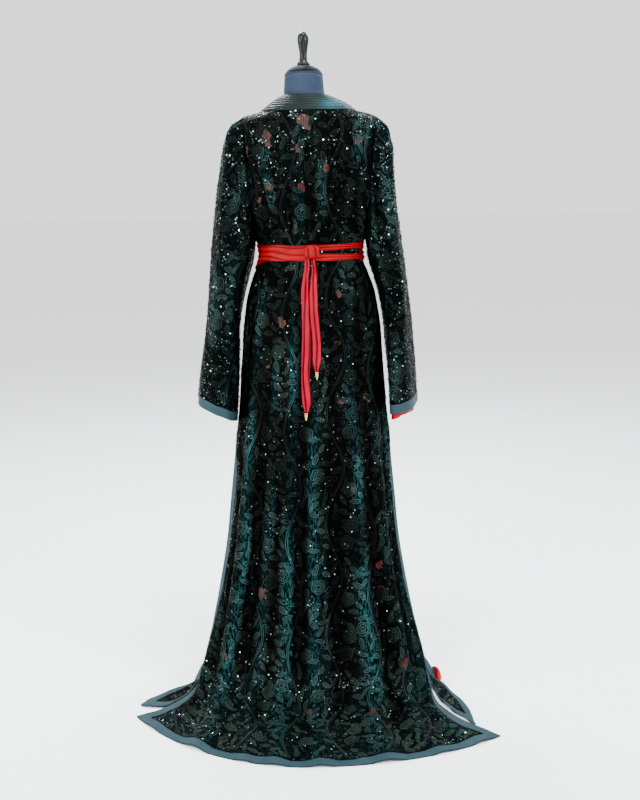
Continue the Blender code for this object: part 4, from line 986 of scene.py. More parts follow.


# the teal third colour of the pile, leaf and thread finishes, and the band's lit colour, are painted
# highlights for the light sides of folds; the red and crimson satin paint shade into their creases
finishes = {
    "pile": sequinFinish(
        "sequined velvet", ((0.0002, 0.0004, 0.0004), (0.0010, 0.0009, 0.0007)),
        (0.005, 0.039, 0.043), 0.035, 0.26),
    "leaf": sequinFinish(
        "leaf pile", ((0.0026, 0.0058, 0.0044), (0.0070, 0.0104, 0.0068)),
        (0.008, 0.036, 0.036), 0.12, 0.44, 0.5),
    "thread": threadFinish("outline thread", (0.0190, 0.0330, 0.0250), (0.024, 0.082, 0.084)),
    "braid": braidFinish("edge braid", (0.0120, 0.0310, 0.0400), (0.0230, 0.0470, 0.0580), 70.0),
    "band": braidFinish(
        "neck band satin", (0.0018, 0.0050, 0.0044), (0.0056, 0.0118, 0.0104), 30.0, roughness=0.50,
        lit=(0.012, 0.070, 0.085)),
    "satin": satinFinish("red satin", (0.235, 0.0005, 0.0030), (0.130, 0.0003, 0.0016), shadedCreases=True),
    "tail": satinFinish("crimson satin", (0.250, 0.0005, 0.0120), (0.140, 0.0004, 0.0062), shadedCreases=True),
    "edgeSatin": satinFinish("red edge satin", (0.250, 0.0005, 0.0030), (0.150, 0.0003, 0.0015)),
    "lining": satinFinish("lining satin", (0.060, 0.0004, 0.0010), (0.030, 0.0002, 0.0006), 0.45),
    "gold": polishFinish("pale gold", (0.30, 0.21, 0.07), (0.50, 0.38, 0.17), 0.28, metallic=1.0, grain=30.0),
    "jersey": jerseyFinish("form jersey", (0.012, 0.018, 0.036), (0.024, 0.034, 0.060)),
    "cap": jerseyFinish(
        "cap jersey", (0.0004, 0.0005, 0.0008), (0.0010, 0.0012, 0.0018),
        top=(1.6385, 1.6415, (0.014, 0.021, 0.041))),
    "finial": polishFinish(
        "dark lacquer", (0.0010, 0.0012, 0.0016), (0.0050, 0.0064, 0.0085), 0.30, grain=9.0, shine=0.16),
    "window": windowFinish("worn window", (0.052, 0.019, 0.015), (0.009, 0.003, 0.0025)),
    "wornRed": windowFinish("worn red window", (0.048, 0.0030, 0.0030), (0.008, 0.0010, 0.0010)),
    "sequin": sequinDiscFinish("loose sequins", (0.0010, 0.0024, 0.0020), (0.110, 0.190, 0.170)),
    "metal": polishFinish("black metal", (0.016, 0.016, 0.018), (0.032, 0.032, 0.036), 0.38, metallic=0.7),
}

print("stage 2: finishes made")

# floor, light and camera
studio = {
    "floorHalf": 60.0, "floorColour": (0.94, 0.94, 0.95),
    "worldColour": (0.98, 0.99, 1.0), "worldStrength": 1.7,
    "eye": (0.028, -3.0, 1.33), "lookDown": 10.6, "roll": -1.0, "lens": 49.71,
    "lamps": [
        # name, place, aimed at, width, height, watts, colour
        ("key lamp", (-2.2, -3.2, 3.2), (0, 0, 0.9), 1.1, 1.1, 170, (1.0, 0.98, 0.95)),
        ("side lamp", (2.6, -1.9, 2.3), (0, 0, 1.0), 0.7, 1.6, 110, (0.80, 0.95, 1.0)),
        ("left strip", (-2.3, -0.7, 1.7), (0, 0, 0.9), 0.4, 1.8, 60, (0.85, 1.0, 0.96)),
        ("low lamp", (0.4, -3.4, 0.9), (0, -0.4, 0.1), 0.5, 0.5, 28, (0.9, 1.0, 1.0)),
        ("top lamp", (0.3, -0.6, 3.4), (0, -0.2, 0.6), 0.9, 0.9, 80, (1.0, 1.0, 1.0)),
        ("train lamp", (-0.7, 2.0, 3.4), (0, -0.5, 0.0), 0.9, 0.6, 190, (0.90, 1.0, 1.0)),
        ("train lamp right", (1.5, 1.8, 3.0), (0, -0.5, 0.0), 0.5, 0.5, 100, (0.85, 1.0, 1.0)),
        ("left spark", (-3.2, -2.2, 1.9), (-0.2, 0, 1.2), 0.35, 0.35, 55, (0.85, 1.0, 0.97)),
        ("right spark", (3.0, -2.6, 2.2), (0.2, 0, 1.2), 0.35, 0.35, 55, (0.85, 1.0, 1.0)),
    ],
}


def makeStudio():
    bpy.ops.object.select_all(action="DESELECT")
    bpy.ops.mesh.primitive_plane_add(size=2 * studio["floorHalf"], location=(0, 0, 0))
    floor = bpy.context.object
    floor.name = "studio_floor"
    material, tree, shader = newFinish("pale floor", 0.75)
    spot = objectCoordinates(tree, (1, 1, 1))
    cloud = noiseAt(tree, spot, 1.5, 3.0)
    pale = studio["floorColour"]
    tree.links.new(
        mixColour(tree, cloud, tuple(0.985 * v for v in pale), pale), shader.inputs["Base Color"])
    bumpInto(tree, shader, noiseAt(tree, spot, 120.0, 2.0), 0.03, 0.0005)
    floor.data.materials.append(material)
    floor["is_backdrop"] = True
    world = bpy.data.worlds.new("studio light")
    bpy.context.scene.world = world
    world.use_nodes = True
    sky = world.node_tree.nodes["Background"]
    sky.inputs["Color"].default_value = (*studio["worldColour"], 1)
    sky.inputs["Strength"].default_value = studio["worldStrength"]
    for name, place, aim, width, height, watts, colour in studio["lamps"]:
        lamp = bpy.data.lights.new(name, "AREA")
        lamp.shape = "RECTANGLE"
        lamp.size, lamp.size_y = width, height
        lamp.energy = watts
        lamp.color = colour
        holder = bpy.data.objects.new(name, lamp)
        bpy.context.scene.collection.objects.link(holder)
        away = Matrix.Translation(place).to_translation() - Matrix.Translation(aim).to_translation()
        holder.matrix_world = Matrix.Translation(place) @ away.to_track_quat("Z", "Y").to_matrix().to_4x4()
    eye = bpy.data.cameras.new("camera")
    eye.lens = studio["lens"]
    camera = bpy.data.objects.new("camera", eye)
    bpy.context.scene.collection.objects.link(camera)
    tilt = Matrix.Rotation(math.radians(90.0 - studio["lookDown"]), 4, "X")
    roll = Matrix.Rotation(math.radians(studio["roll"]), 4, "Z")
    camera.matrix_world = Matrix.Translation(studio["eye"]) @ tilt @ roll
    bpy.context.scene.camera = camera


makeStudio()
print("stage 3: floor, lamps and camera set")

# dress form
formLook = {
    "segments": 96, "rowCuts": 5, "slimmer": 0.992, "slimBelow": 1.565, "tilt": 0.16, "tiltStart": 1.579,
}


def formRing(row):
    points = []
    for index in range(formLook["segments"]):
        turn = 2.0 * math.pi * index / formLook["segments"]
        x, y = math.cos(turn), math.sin(turn)
        depth = row.front if y > 0 else row.back
        shape = 2.0 / row.power
        slim = formLook["slimmer"] if row.z < formLook["slimBelow"] else 1.0
        x = slim * row.half * math.copysign(abs(x) ** shape, x)
        y = slim * depth * math.copysign(abs(y) ** shape, y)
        start = formLook["tiltStart"]
        tilt = formLook["tilt"] * max(row.z - start, 0.0) / (form[-1].z - start)
        points.append((x, y, row.z - tilt * y))
    return points


def turnedPiece(name, profile, material, segments=64):
    # a turned piece: its half outline is spun round the Z axis and the two poles are closed
    bpy.ops.object.select_all(action="DESELECT")
    mesh = bpy.data.meshes.new(name)
    links = [(k, k + 1) for k in range(len(profile) - 1)]
    mesh.from_pydata([(radius, 0, z) for radius, z in profile], links, [])
    piece = bpy.data.objects.new(name, mesh)
    bpy.context.scene.collection.objects.link(piece)
    bpy.context.view_layer.objects.active = piece
    piece.select_set(True)
    bpy.ops.object.mode_set(mode="EDIT")
    bpy.ops.mesh.select_all(action="SELECT")
    bpy.ops.mesh.spin(steps=segments, angle=2 * math.pi, center=(0, 0, 0), axis=(0, 0, 1))
    bpy.ops.mesh.select_all(action="SELECT")
    bpy.ops.mesh.remove_doubles(threshold=0.00002)
    bpy.ops.mesh.normals_make_consistent(inside=False)
    bpy.ops.object.mode_set(mode="OBJECT")
    bpy.ops.object.shade_smooth_by_angle(angle=math.radians(40))
    piece.data.materials.append(material)
    piece.select_set(False)
    return piece


def roundProfile(rows, cuts):
    # a fair curve through a turned piece's named radii
    rows = np.array(rows, dtype=float)
    stations = np.concatenate([[0.0], np.cumsum(np.linalg.norm(np.diff(rows, axis=0), axis=1))])
    return smoothAlong(rows, stations, cutFiner(stations, cuts))


def makeForm():
    rings = refineRows(np.array([formRing(row) for row in form]), formLook["rowCuts"])
    torso = ringPiece("formTorso", lean(rings), finishes["jersey"])
    seat(torso, "jersey", "form_torso")
    top = form[-1].z
    capRows = [(radius - 0.0002, top + 0.0003 + height) for height, radius in capProfile]
    capRows = [(0.0485, capRows[0][1] - 0.004)] + capRows + [(0.0005, capRows[-1][1] + 0.0012)]
    cap = turnedPiece("neckCap", roundProfile(capRows, 4), finishes["cap"])
    points = np.array([vertex.co for vertex in cap.data.vertices])
    share = np.clip(1.0 - (points[:, 2] - top) / capProfile[-1][0], 0.0, 1.0)
    points[:, 2] -= formLook["tilt"] * share * points[:, 1]
    cap.data.vertices.foreach_set("co", points.ravel())
    cap.data.update()
    seat(cap, "cap", "neck_cap")
    foot = top + capProfile[-1][0] + 0.0006
    rows = [(radius, foot + height) for height, radius in finialProfile]
    rows = [(0.0005, foot)] + rows + [(0.0004, foot + finialProfile[-1][0] + 0.0006)]
    seat(turnedPiece("neckFinial", roundProfile(rows, 4), finishes["finial"]), "finial", "neck_finial")
    for node, finish in (("stand_pole", "metal"), ("stand_base", "metal")):
        for place in bpy.data.objects[node].material_slots:
            place.material = finishes[finish]


makeForm()
print("stage 4: dress form made")

# the kaftan's panels
panelLook = {
    "liningDrop": 0.0032, "floorDrop": 0.0060, "liningStep": 4, "trimOut": 0.0022, "trimIn": 0.0026,
    # painted highlights on the light sides of the back's folds: place on the half arc, half width, strength
    "ridges": [
        (-0.900, 0.030, 0.30), (-0.545, 0.032, 0.95), (-0.330, 0.030, 0.30), (-0.160, 0.034, 0.90),
        (0.000, 0.034, 0.60), (0.350, 0.040, 1.00), (0.760, 0.038, 0.75),
    ],
    # painted shade on the dark sides, likewise
    "valleys": [
        (-0.650, 0.050, 0.95), (-0.410, 0.070, 0.60), (-0.068, 0.028, 1.00), (0.185, 0.060, 0.95),
        (0.540, 0.060, 0.60), (0.880, 0.040, 0.80),
    ],
    "crinkle": 0.0011, "rumple": 0.0040, "edgeTurn": 0.011, "riseHeight": 0.0042, "gatherHeight": 0.0016,
    "valley": 0.0014, "ridge": 0.0030,
}


def rowPlaces(count):
    # section number of every fine row
    coarse = np.append(np.arange(hem + 1), hem).astype(float)
    return np.interp(np.arange(count) / fine["rows"], np.arange(len(coarse)), coarse)


def partsOf(sign, which, count):
    rows = [which(place) if sign is None else which(sign, place) for place in range(hem + 1)]
    rows.append(rows[-1])
    rows = np.array(rows)
    stations = np.arange(count) / fine["rows"]
    return np.array([np.interp(stations, np.arange(len(rows)), rows[:, k]) for k in range(rows.shape[1])]).T


def waves(a, b, seed, scales):
    # smooth seeded waviness between -1 and 1 over two coordinates
    draw = np.random.default_rng(seed)
    total = np.zeros(np.broadcast(a, b).shape)
    for scale in scales:
        for _ in range(3):
            turn, phase = draw.uniform(0, 2 * math.pi, 2)
            total += np.sin((a * math.cos(turn) + b * math.sin(turn)) * scale + phase)
    return total / (3.0 * len(scales))


def fadeBand(values, start, full, end, gone):
    arrive = ease((values - start) / max(full - start, 1e-6))
    return arrive * (1.0 - ease((values - end) / max(gone - end, 1e-6)))


def detailed(grid, flat, seed, strength=1.0):
    # small crinkles all over, and rumples where the cloth lies on the floor
    across, down = flat[..., 0], flat[..., 1]
    normals = normalsOf(grid)
    rise = panelLook["crinkle"] * waves(across * 1.6, down * 0.5, seed, (70.0, 120.0))
    z = grid[..., 2]
    upper = fadeBand(z, 1.21, 1.28, 1.40, 1.52)
    fan = across * (100.0 - 42.0 * ease((z - 1.21) / 0.3)) + 0.5 * np.sin(9.0 * across + 14.0 * z) + seed
    rise = rise + panelLook["riseHeight"] * upper * (np.sin(fan) - 0.35 * np.cos(2.0 * fan))
    lower = fadeBand(-z, -1.14, -1.10, -1.04, -0.90)
    rise = rise + panelLook["gatherHeight"] * lower * np.sin(across * 190.0 + 2.0 * np.sin(across * 31.0))
    floor = 1.0 - ease((z - 0.02) / 0.10)
    rise = rise + panelLook["rumple"] * floor * waves(across, down * 0.8, seed + 1, (45.0, 75.0))
    atBelt = 1.0 - fadeBand(grid[..., 2], 1.13, 1.15, 1.205, 1.225)
    edge = np.ones(grid.shape[:2])
    edge[:, 0] = edge[:, -1] = 0.0
    edge[0] = 0.0
    grid = grid + normals * (rise * atBelt * edge * strength)[..., None]
    liftOffFloor(grid, cloth / 2.0)
    return grid


def turnSlitEdges(grid):
    # the braid's seam line lies further in than its free edge, so that the braid shows from behind
    rows, columns = grid.shape[:2]
    row = np.arange(rows) / fine["rows"]
    reach = fadeBand(row, slitTop, slitTop + 1.5, hem - 8.0, hem - 5.0)[:, None]
    col = np.arange(columns)
    for sign, far in ((-1.0, col), (1.0, columns - 1 - col)):
        swell = ease(far / fine["back"]) * (1.0 - ease((far - fine["back"]) / (2.5 * fine["back"])))
        grid[..., 0] -= sign * panelLook["edgeTurn"] * reach * swell[None, :]


def foldDepth(grid, normals, reach):
    # how far each point lies below the cloth's mean surface round it, in the across direction
    smooth = grid.copy()
    count = grid.shape[1]
    for _ in range(3):
        total = np.concatenate([np.zeros((grid.shape[0], 1, 3)), np.cumsum(smooth, axis=1)], axis=1)
        low = np.maximum(np.arange(count) - reach, 0)
        high = np.minimum(np.arange(count) + reach + 1, count)
        smooth = (total[:, high] - total[:, low]) / (high - low)[None, :, None]
    return ((smooth - grid) * normals).sum(axis=-1)


def makeNets():
    nets = {}
    for key, coarse in (("back", backGrid()), ("right", frontGrid("right")), ("left", frontGrid("left"))):
        grid = refineRows(coarse, fine["rows"])
        liftOffFloor(grid, cloth / 2.0)
        middle = {"back": grid.shape[1] // 2, "right": grid.shape[1] - 1, "left": 0}[key]
        flat = flatOf(grid, middle)
        if key == "back":
            turnSlitEdges(grid)
        grid = detailed(grid, flat, {"back": 11, "right": 21, "left": 31}[key])
        nets[key] = {"grid": grid, "flat": flat, "normals": normalsOf(grid)}
    down = slice(underarm * fine["rows"], slitTop * fine["rows"] + 1)
    back = nets["back"]
    for key, backCol, frontCol in (("right", -1, 0), ("left", 0, -1)):
        front = nets[key]
        front["grid"][down, frontCol] = back["grid"][down, backCol]
        shared = unit(back["normals"][down, backCol] + front["normals"][down, frontCol])
        back["normals"][down, backCol] = shared
        front["normals"][down, frontCol] = shared
    for side in ("right", "left"):
        sign = 1.0 if side == "right" else -1.0
        back, front = nets["back"]["grid"], nets[side]["grid"]
        if side == "right":
            loop = [back[row, -1] for row in range(underarm * fine["rows"], 0, -1)]
            loop += [front[row, 0] for row in range(0, underarm * fine["rows"])]
        else:
            loop = [back[row, 0] for row in range(underarm * fine["rows"], 0, -1)]
            loop += [front[row, -1] for row in range(0, underarm * fine["rows"])]
        loop = np.array(loop) + np.array([sign * 0.0014, 0.0, 0.0])
        coarse = sleeveGrid(side, list(loop))
        coarse = np.concatenate([coarse, coarse[:, :1]], axis=1)
        if side == "left":
            coarse = coarse[:, ::-1]
        grid = refineRows(coarse, fine["sleeve"])
        flat = flatOf(grid, grid.shape[1] // 2)
        down = flat[..., 1]
        softness = ease(down / 0.12)
        around = 2.0 * math.pi * np.linspace(0.0, 1.0, grid.shape[1])[None, :]
        folds = 0.0035 * np.sin(3.0 * around + 5.0 * down + sign) + 0.0026 * np.sin(5.0 * around - 7.0 * down)
        outward = normalsOf(grid)
        outward[:, 0] = outward[:, -1] = unit(outward[:, 0] + outward[:, -1])
        grid = grid + outward * (folds * softness)[..., None]
        outward = normalsOf(grid)
        outward[:, 0] = outward[:, -1] = unit(outward[:, 0] + outward[:, -1])
        nets["sleeve" + side.title()] = {"grid": grid, "flat": flat, "normals": outward}
    return nets


nets = makeNets()


def markNets():
    # the highlight mark is a painted highlight on the light side of a fold, the shade mark is painted shade
    # at the bottom of a fold, dense is how thickly the sequins lie
    for key, net in nets.items():
        grid, flat = net["grid"], net["flat"]
        across, down, z = flat[..., 0], flat[..., 1], grid[..., 2]
        uneven = 0.5 + 0.5 * waves(across, down * 0.45, 5, (30.0, 55.0))
        if key == "back":
            part = partsOf(None, backParts, grid.shape[0])
            place = rowPlaces(grid.shape[0])[:, None]
            glow = np.zeros(part.shape)
            for centre, width, strength in panelLook["ridges"]:
                wander = 0.010 * np.sin(0.9 * place + 9.0 * centre)
                glow += strength * bell(part - centre - wander, width)
            glow *= fadeBand(place, 10.5, 17.0, 24.5, 27.0) * (0.55 + 0.45 * uneven) + 0.05
            # painted sheen also on the right shoulder, across the upper back and over the train on the floor
            shoulder = fadeBand(z, 1.30, 1.46, 1.60, 1.70) * ease((part - 0.15) / 0.5)
            glow += 0.42 * shoulder * uneven + 0.16 * uneven * fadeBand(z, 1.22, 1.34, 1.50, 1.56)
            glow += 0.16 * (1.0 - ease((z - 0.01) / 0.08)) * uneven
        elif key.startswith("sleeve"):
            half = np.abs(across) / np.maximum(np.abs(across[:, :1]), 1e-6)
            # painted sheen along the sleeve's outer side
            glow = 0.22 * uneven * (1.0 - ease((half - 0.15) / 0.35)) + 0.04 * uneven
        else:
            part = partsOf(1.0 if key == "right" else -1.0, frontParts, grid.shape[0])
            part = part if key == "right" else part[:, ::-1]
            glow = np.zeros(part.shape)
            # painted highlights on the crests of the front's folds
            for fold in frontFolds:
                if fold.height > 0:
                    glow += 0.8 * bell(part - fold.hem, 0.05)
            glow *= fadeBand(rowPlaces(grid.shape[0])[:, None], 10.5, 16.0, 24.5, 27.0) * (0.4 + 0.6 * uneven)
            glow += 0.06 * uneven
        clump = ease((0.5 + 0.5 * waves(across, down, 77, (60.0, 95.0)) - 0.42) / 0.22)
        floorShare = 1.0 - ease((z - 0.02) / 0.16)
        dense = 0.16 - 0.12 * floorShare + 0.34 * fadeBand(z, 1.26, 1.44, 1.60, 1.70)
        if key.startswith("sleeve"):
            half = np.abs(across) / np.maximum(np.abs(across[:, :1]), 1e-6)
            dense = dense + 0.18 * (1.0 - ease((half - 0.2) / 0.4))
        depth = foldDepth(grid, net["normals"], 10 if key == "back" else 9)
        # painted highlight on the crests of the fold geometry
        light = ease(-depth / panelLook["ridge"]) * (0.35 + 0.65 * uneven)
        dense = dense * (0.25 + 0.75 * clump)
        net["glow"] = np.clip(glow * 0.85 + 0.22 * light, 0.0, 1.0)
        # painted shade in the fold valleys, and in broad uneven patches
        valley = ease(depth / panelLook["valley"]) * (1.0 - ease((0.10 - z) / 0.08))
        shadedShare = 0.46 + 0.30 * fadeBand(z, 0.2, 0.6, 1.5, 1.6) - uneven
        valley = np.maximum(valley, 0.92 * ease(shadedShare / 0.22 - 0.4))
        if key == "back":
            for centre, width, strength in panelLook["valleys"]:
                deep = strength * bell(part - centre - 0.004 * np.sin(place), width)
                valley = np.maximum(valley, deep * fadeBand(place, 11.0, 15.0, 24.0, 26.5))
        net["shade"] = np.clip(valley, 0.0, 1.0)
        net["dense"] = np.clip(dense * (1.0 - 0.6 * net["shade"]), 0.0, 1.0)
        bright = 0.70 * floorShare + 0.25 * fadeBand(z, 1.26, 1.44, 1.60, 1.70)
        bright = bright + 0.30 * key.startswith("sleeve")
        net["spark"] = np.clip(net["dense"] + 0.04 + bright * clump, 0.0, 1.0)


markNets()


def printNet(net):
    # a sleeve's cloth again, with rows at even heights, so that the motif isn't drawn askew
    grid = net["grid"]
    rows, columns = grid.shape[:2]
    levels = np.linspace(grid[..., 2].max(), grid[..., 2].min(), rows)
    made = {"grid": np.zeros_like(grid), "normals": np.zeros_like(grid), "valid": np.zeros((rows, columns))}
    for mark in ("glow", "dense", "shade", "spark"):
        made[mark] = np.zeros((rows, columns))
    for col in range(columns):
        height = -np.maximum.accumulate(-grid[:, col, 2])
        for axis in range(3):
            made["grid"][:, col, axis] = np.interp(-levels, -height, grid[:, col, axis])
            made["normals"][:, col, axis] = np.interp(-levels, -height, net["normals"][:, col, axis])
        for mark in ("glow", "dense", "shade", "spark"):
            made[mark][:, col] = np.interp(-levels, -height, net[mark][:, col])
        made["valid"][:, col] = (levels < height[0] - 0.003) & (levels > height[-1] + trimWidth)
    steps = np.linalg.norm(np.diff(made["grid"][..., :2], axis=1), axis=-1)
    across = np.concatenate([np.zeros((rows, 1)), np.cumsum(steps, axis=1)], axis=1)
    across -= across[:, columns // 2:columns // 2 + 1]
    made["flat"] = np.stack([across, np.broadcast_to((levels[0] - levels)[:, None], across.shape)], axis=-1)
    return made


def shellOf(net, off):
    return lean(net["grid"] + net["normals"] * off)


def makePanel(name, key, node):
    net = nets[key]
    rows, columns = net["grid"].shape[:2]
    points = shellOf(net, cloth / 2.0)
    liftOffFloor(points, cloth / 2.0)
    marks = {"glow": net["glow"], "dense": net["dense"], "shade": net["shade"]}
    wrap = key.startswith("sleeve")
    flatFaces = netFaces(rows, columns)
    if wrap:
        points = points[:, :-1]
        marks = {mark: values[:, :-1] for mark, values in marks.items()}
        faces = netFaces(rows, columns - 1, wrap=True)
        panel = meshPiece(
            name, points.reshape(-1, 3), faces, finishes["pile"], net["flat"].reshape(-1, 2), marks,
            flatFaces=flatFaces)
    else:
        panel = meshPiece(
            name, points.reshape(-1, 3), flatFaces, finishes["pile"], net["flat"].reshape(-1, 2), marks)
    seat(panel, "velvet", node)
    step = panelLook["liningStep"]
    low = panelLook["floorDrop"] * (1.0 - ease((net["grid"][..., 2:] - 0.02) / 0.10))
    inner = lean(net["grid"] - net["normals"] * (panelLook["liningDrop"] + low))
    top = rows // 2 if wrap else underarm * fine["rows"]
    foot = rows if wrap else rows - 5 * fine["rows"]
    rowPicks = list(range(top, foot, step))
    columnPicks = list(range(0, columns, step)) if wrap else list(range(step, columns - step + 1, step))
    inner = inner[np.ix_(rowPicks, columnPicks)]
    liftOffFloor(inner, 0.0002)
    flat = net["flat"][np.ix_(rowPicks, columnPicks)]
    faces = netFaces(len(rowPicks), len(columnPicks))[:, ::-1]
    lining = meshPiece(
        name + "Lining", inner.reshape(-1, 3), faces, finishes["lining"], flat.reshape(-1, 2))
    seat(lining, "satin")
    return panel, lining


panelNodes = {
    "back": ("backPanel", "back_panel"), "right": ("frontPanelRight", "front_panel_right"),
    "left": ("frontPanelLeft", "front_panel_left"), "sleeveRight": ("sleeveRight", "sleeve_right"),
    "sleeveLeft": ("sleeveLeft", "sleeve_left"),
}
panels = {}
linings = {}
for key, (name, node) in panelNodes.items():
    panels[key], linings[key] = makePanel(name, key, node)
print("stage 5: panels and linings made")


# braid along the slits, the hem and the cuffs
def trimFlat(net, lastRows, edgeColumns, mirrored):
    # stripes follow the braid: along it first, then across it
    flat = net["flat"].copy()
    across, down = net["flat"][..., 0], net["flat"][..., 1]
    rows = flat.shape[0] - 1 - lastRows
    side = np.stack([down, np.abs(across - across[:, -1:] if mirrored else across - across[:, :1])], axis=-1)
    for columns in edgeColumns:
        flat[:rows, columns] = side[:rows, columns]
    flat[rows:, :, 1] = down[-1:, :] - down[rows:]
    return flat


def makeTrims():
    lastRow = fine["rows"]
    pieces = {}
    for name, key, node in (
            ("edgeTrimBack", "back", "edge_trim_back"),
            ("edgeTrimFrontRight", "right", "edge_trim_front_right"),
            ("edgeTrimFrontLeft", "left", "edge_trim_front_left")):
        net = nets[key]
        rows, columns = net["grid"].shape[:2]
        wide = fine["back"] if key == "back" else fine["front"]
        slit = slitTop * fine["rows"]

        def keep(row, col, rows=rows, columns=columns, wide=wide, key=key, slit=slit):
            hemCells = row >= rows - 1 - lastRow
            leftCells = (row >= slit) & (col < wide) & (key in ("back", "right"))
            rightCells = (row >= slit) & (col >= columns - 1 - wide) & (key in ("back", "left"))
            return hemCells | leftCells | rightCells

        flat = trimFlat(net, lastRow, [slice(0, wide + 1)], False)
        if key in ("back", "left"):
            mirrored = trimFlat(net, lastRow, [slice(columns - 1 - wide, columns)], True)
            flat[:, columns - 1 - wide:] = mirrored[:, columns - 1 - wide:]
        outer = net["grid"] + net["normals"] * panelLook["trimOut"]
        inner = net["grid"] - net["normals"] * panelLook["trimIn"]
        liftOffFloor(inner, 0.0001)
        pieces[key] = seat(wallPiece(name, outer, inner, finishes["braid"], flat, keep=keep), "braid", node)
    for side in ("Right", "Left"):
        net = nets["sleeve" + side]
        rows, columns = net["grid"].shape[:2]
        first = rows - 1 - fine["sleeve"]
        pick = np.s_[first:, :-1]
        outer = (net["grid"] + net["normals"] * panelLook["trimOut"])[pick]
        inner = (net["grid"] - net["normals"] * panelLook["trimIn"])[pick]
        pieces["sleeve" + side] = seat(
            wallPiece("cuffTrim" + side, outer, inner, finishes["braid"], net["flat"][pick], wrap=True),
            "braid", "cuff_trim_" + side.lower())
    return pieces


trims = makeTrims()


# ribbed neck band
bandLook = {"ribs": 8, "samples": 7, "rise": 0.0016, "roll": 0.0045, "under": 0.0012}


def napePoint(way):
    ways = np.linspace(0.0, 1.0, len(napeEdge))
    return np.array([np.interp(way, ways, [point[axis] for point in napeEdge]) for axis in range(3)])


def makeBand():
    mirror = np.array([-1.0, 1.0, 1.0])
    outer, inner = [], []
    for index in range(vColumns, 0, -1):
        part, place = frontStart(shoulderColumns + index)
        outer.append(frontPoint(part, place))
        way = index / vColumns
        inner.append(np.array([neckV(way, field) for field in ("innerX", "innerY", "innerZ")]))
    outer[0][0] = neckLine[-1].outerX
    for index in range(napeColumns + 1):
        part = 1.0 - index / (napeColumns / 2.0)
        outer.append(backPoint(part, 0))
        inner.append(napePoint(1.0 - abs(part)) * (mirror if part < 0 else 1.0))
    for index in range(vColumns):
        outer.append(outer[vColumns - 1 - index] * mirror)
        inner.append(inner[vColumns - 1 - index] * mirror)
    edges = [refineRows(np.array(side)[:, None, :], fine["band"])[:, 0] for side in (outer, inner)]
    steps = bandLook["ribs"] * bandLook["samples"]
    shares = np.linspace(0.0, 1.0, steps + 1)
    grid = np.array([mix(edges[1], edges[0], share) for share in shares])[:, ::-1]
    normals = normalsOf(grid)
    grid = grid + normals * (bandLook["roll"] * np.sin(math.pi * shares))[:, None, None]
    normals = normalsOf(grid)
    grid[:, 0, 0], grid[:, -1, 0] = -neckLine[-1].outerX, neckLine[-1].outerX
    flat = flatOf(grid, grid.shape[1] // 2)
    wobble = 0.06 * waves(flat[..., 0], flat[..., 1], 3, (25.0,))
    rib = np.abs(np.sin(math.pi * bandLook["ribs"] * (shares[:, None] + wobble * 0.3))) ** 0.7
    rise = bandLook["rise"] * rib * np.minimum(1.0, np.minimum(shares, 1.0 - shares) * 16.0 + 0.3)[:, None]
    top = grid + normals * (cloth / 2.0 + rise)[..., None]
    low = grid - normals * bandLook["under"]
    for side in (top, low):
        side[:, 0, 0], side[:, -1, 0] = -neckLine[-1].outerX, neckLine[-1].outerX
    # painted teal sheen on the band's right side behind the neck; the rib mark also paints shade into the
    # grooves between ribs
    lit = np.clip(0.9 * bell(grid[..., 0] - 0.062, 0.028) * bell(shares[:, None] - 0.72, 0.26), 0.0, 1.0)
    lit = lit * (grid[..., 1] < 0.0) + 0.02
    band = wallPiece("neckBand", top, low, finishes["band"], flat, marks={"glow": lit, "fold": rib})
    return seat(band, "band", "neck_band")


neckBand = makeBand()
print("stage 6: trims and band made")

# sash
sashLook = {"seat": 0.0016, "satin": 0.0012, "rise": 0.0046, "rowCuts": 44, "leftDrop": 0.024}


def waistPoint(turn, z, off):
    # a point on the cloth round the waist, moved out; turn is 0 behind, a quarter on the right
    place = float(np.interp(-z, -column(bodice, "zEdge"), range(len(bodice))))
    half = between(bodice, "half", place)
    depth = between(bodice, "back" if math.cos(turn) > 0 else "front", place)
    x, y = half * math.sin(turn), -depth * math.cos(turn)
    way = np.array([math.sin(turn) / half, -math.cos(turn) / depth, 0.0])
    return np.array([x, y, z]) + unit(way) * off


Belt = namedtuple("Belt", "name node start end topStart topEnd footStart footEnd folds columns")
knotTurns = (0.010, 0.030)
beltSideTurn = 1.20
belts = [
    Belt("beltWrap", "belt_wrap", beltSideTurn + 0.004, 2.0 * math.pi - knotTurns[0],
         1.199, 1.198, 1.151, 1.157, 3.5, 220),
    Belt(
        "beltStrandUpper", "belt_strand_upper", knotTurns[1], beltSideTurn,
        1.198, 1.201, 1.182, 1.186, 2, 60),
    Belt(
        "beltStrandLower", "belt_strand_lower", knotTurns[1], beltSideTurn,
        1.176, 1.171, 1.156, 1.157, 2, 60),
]


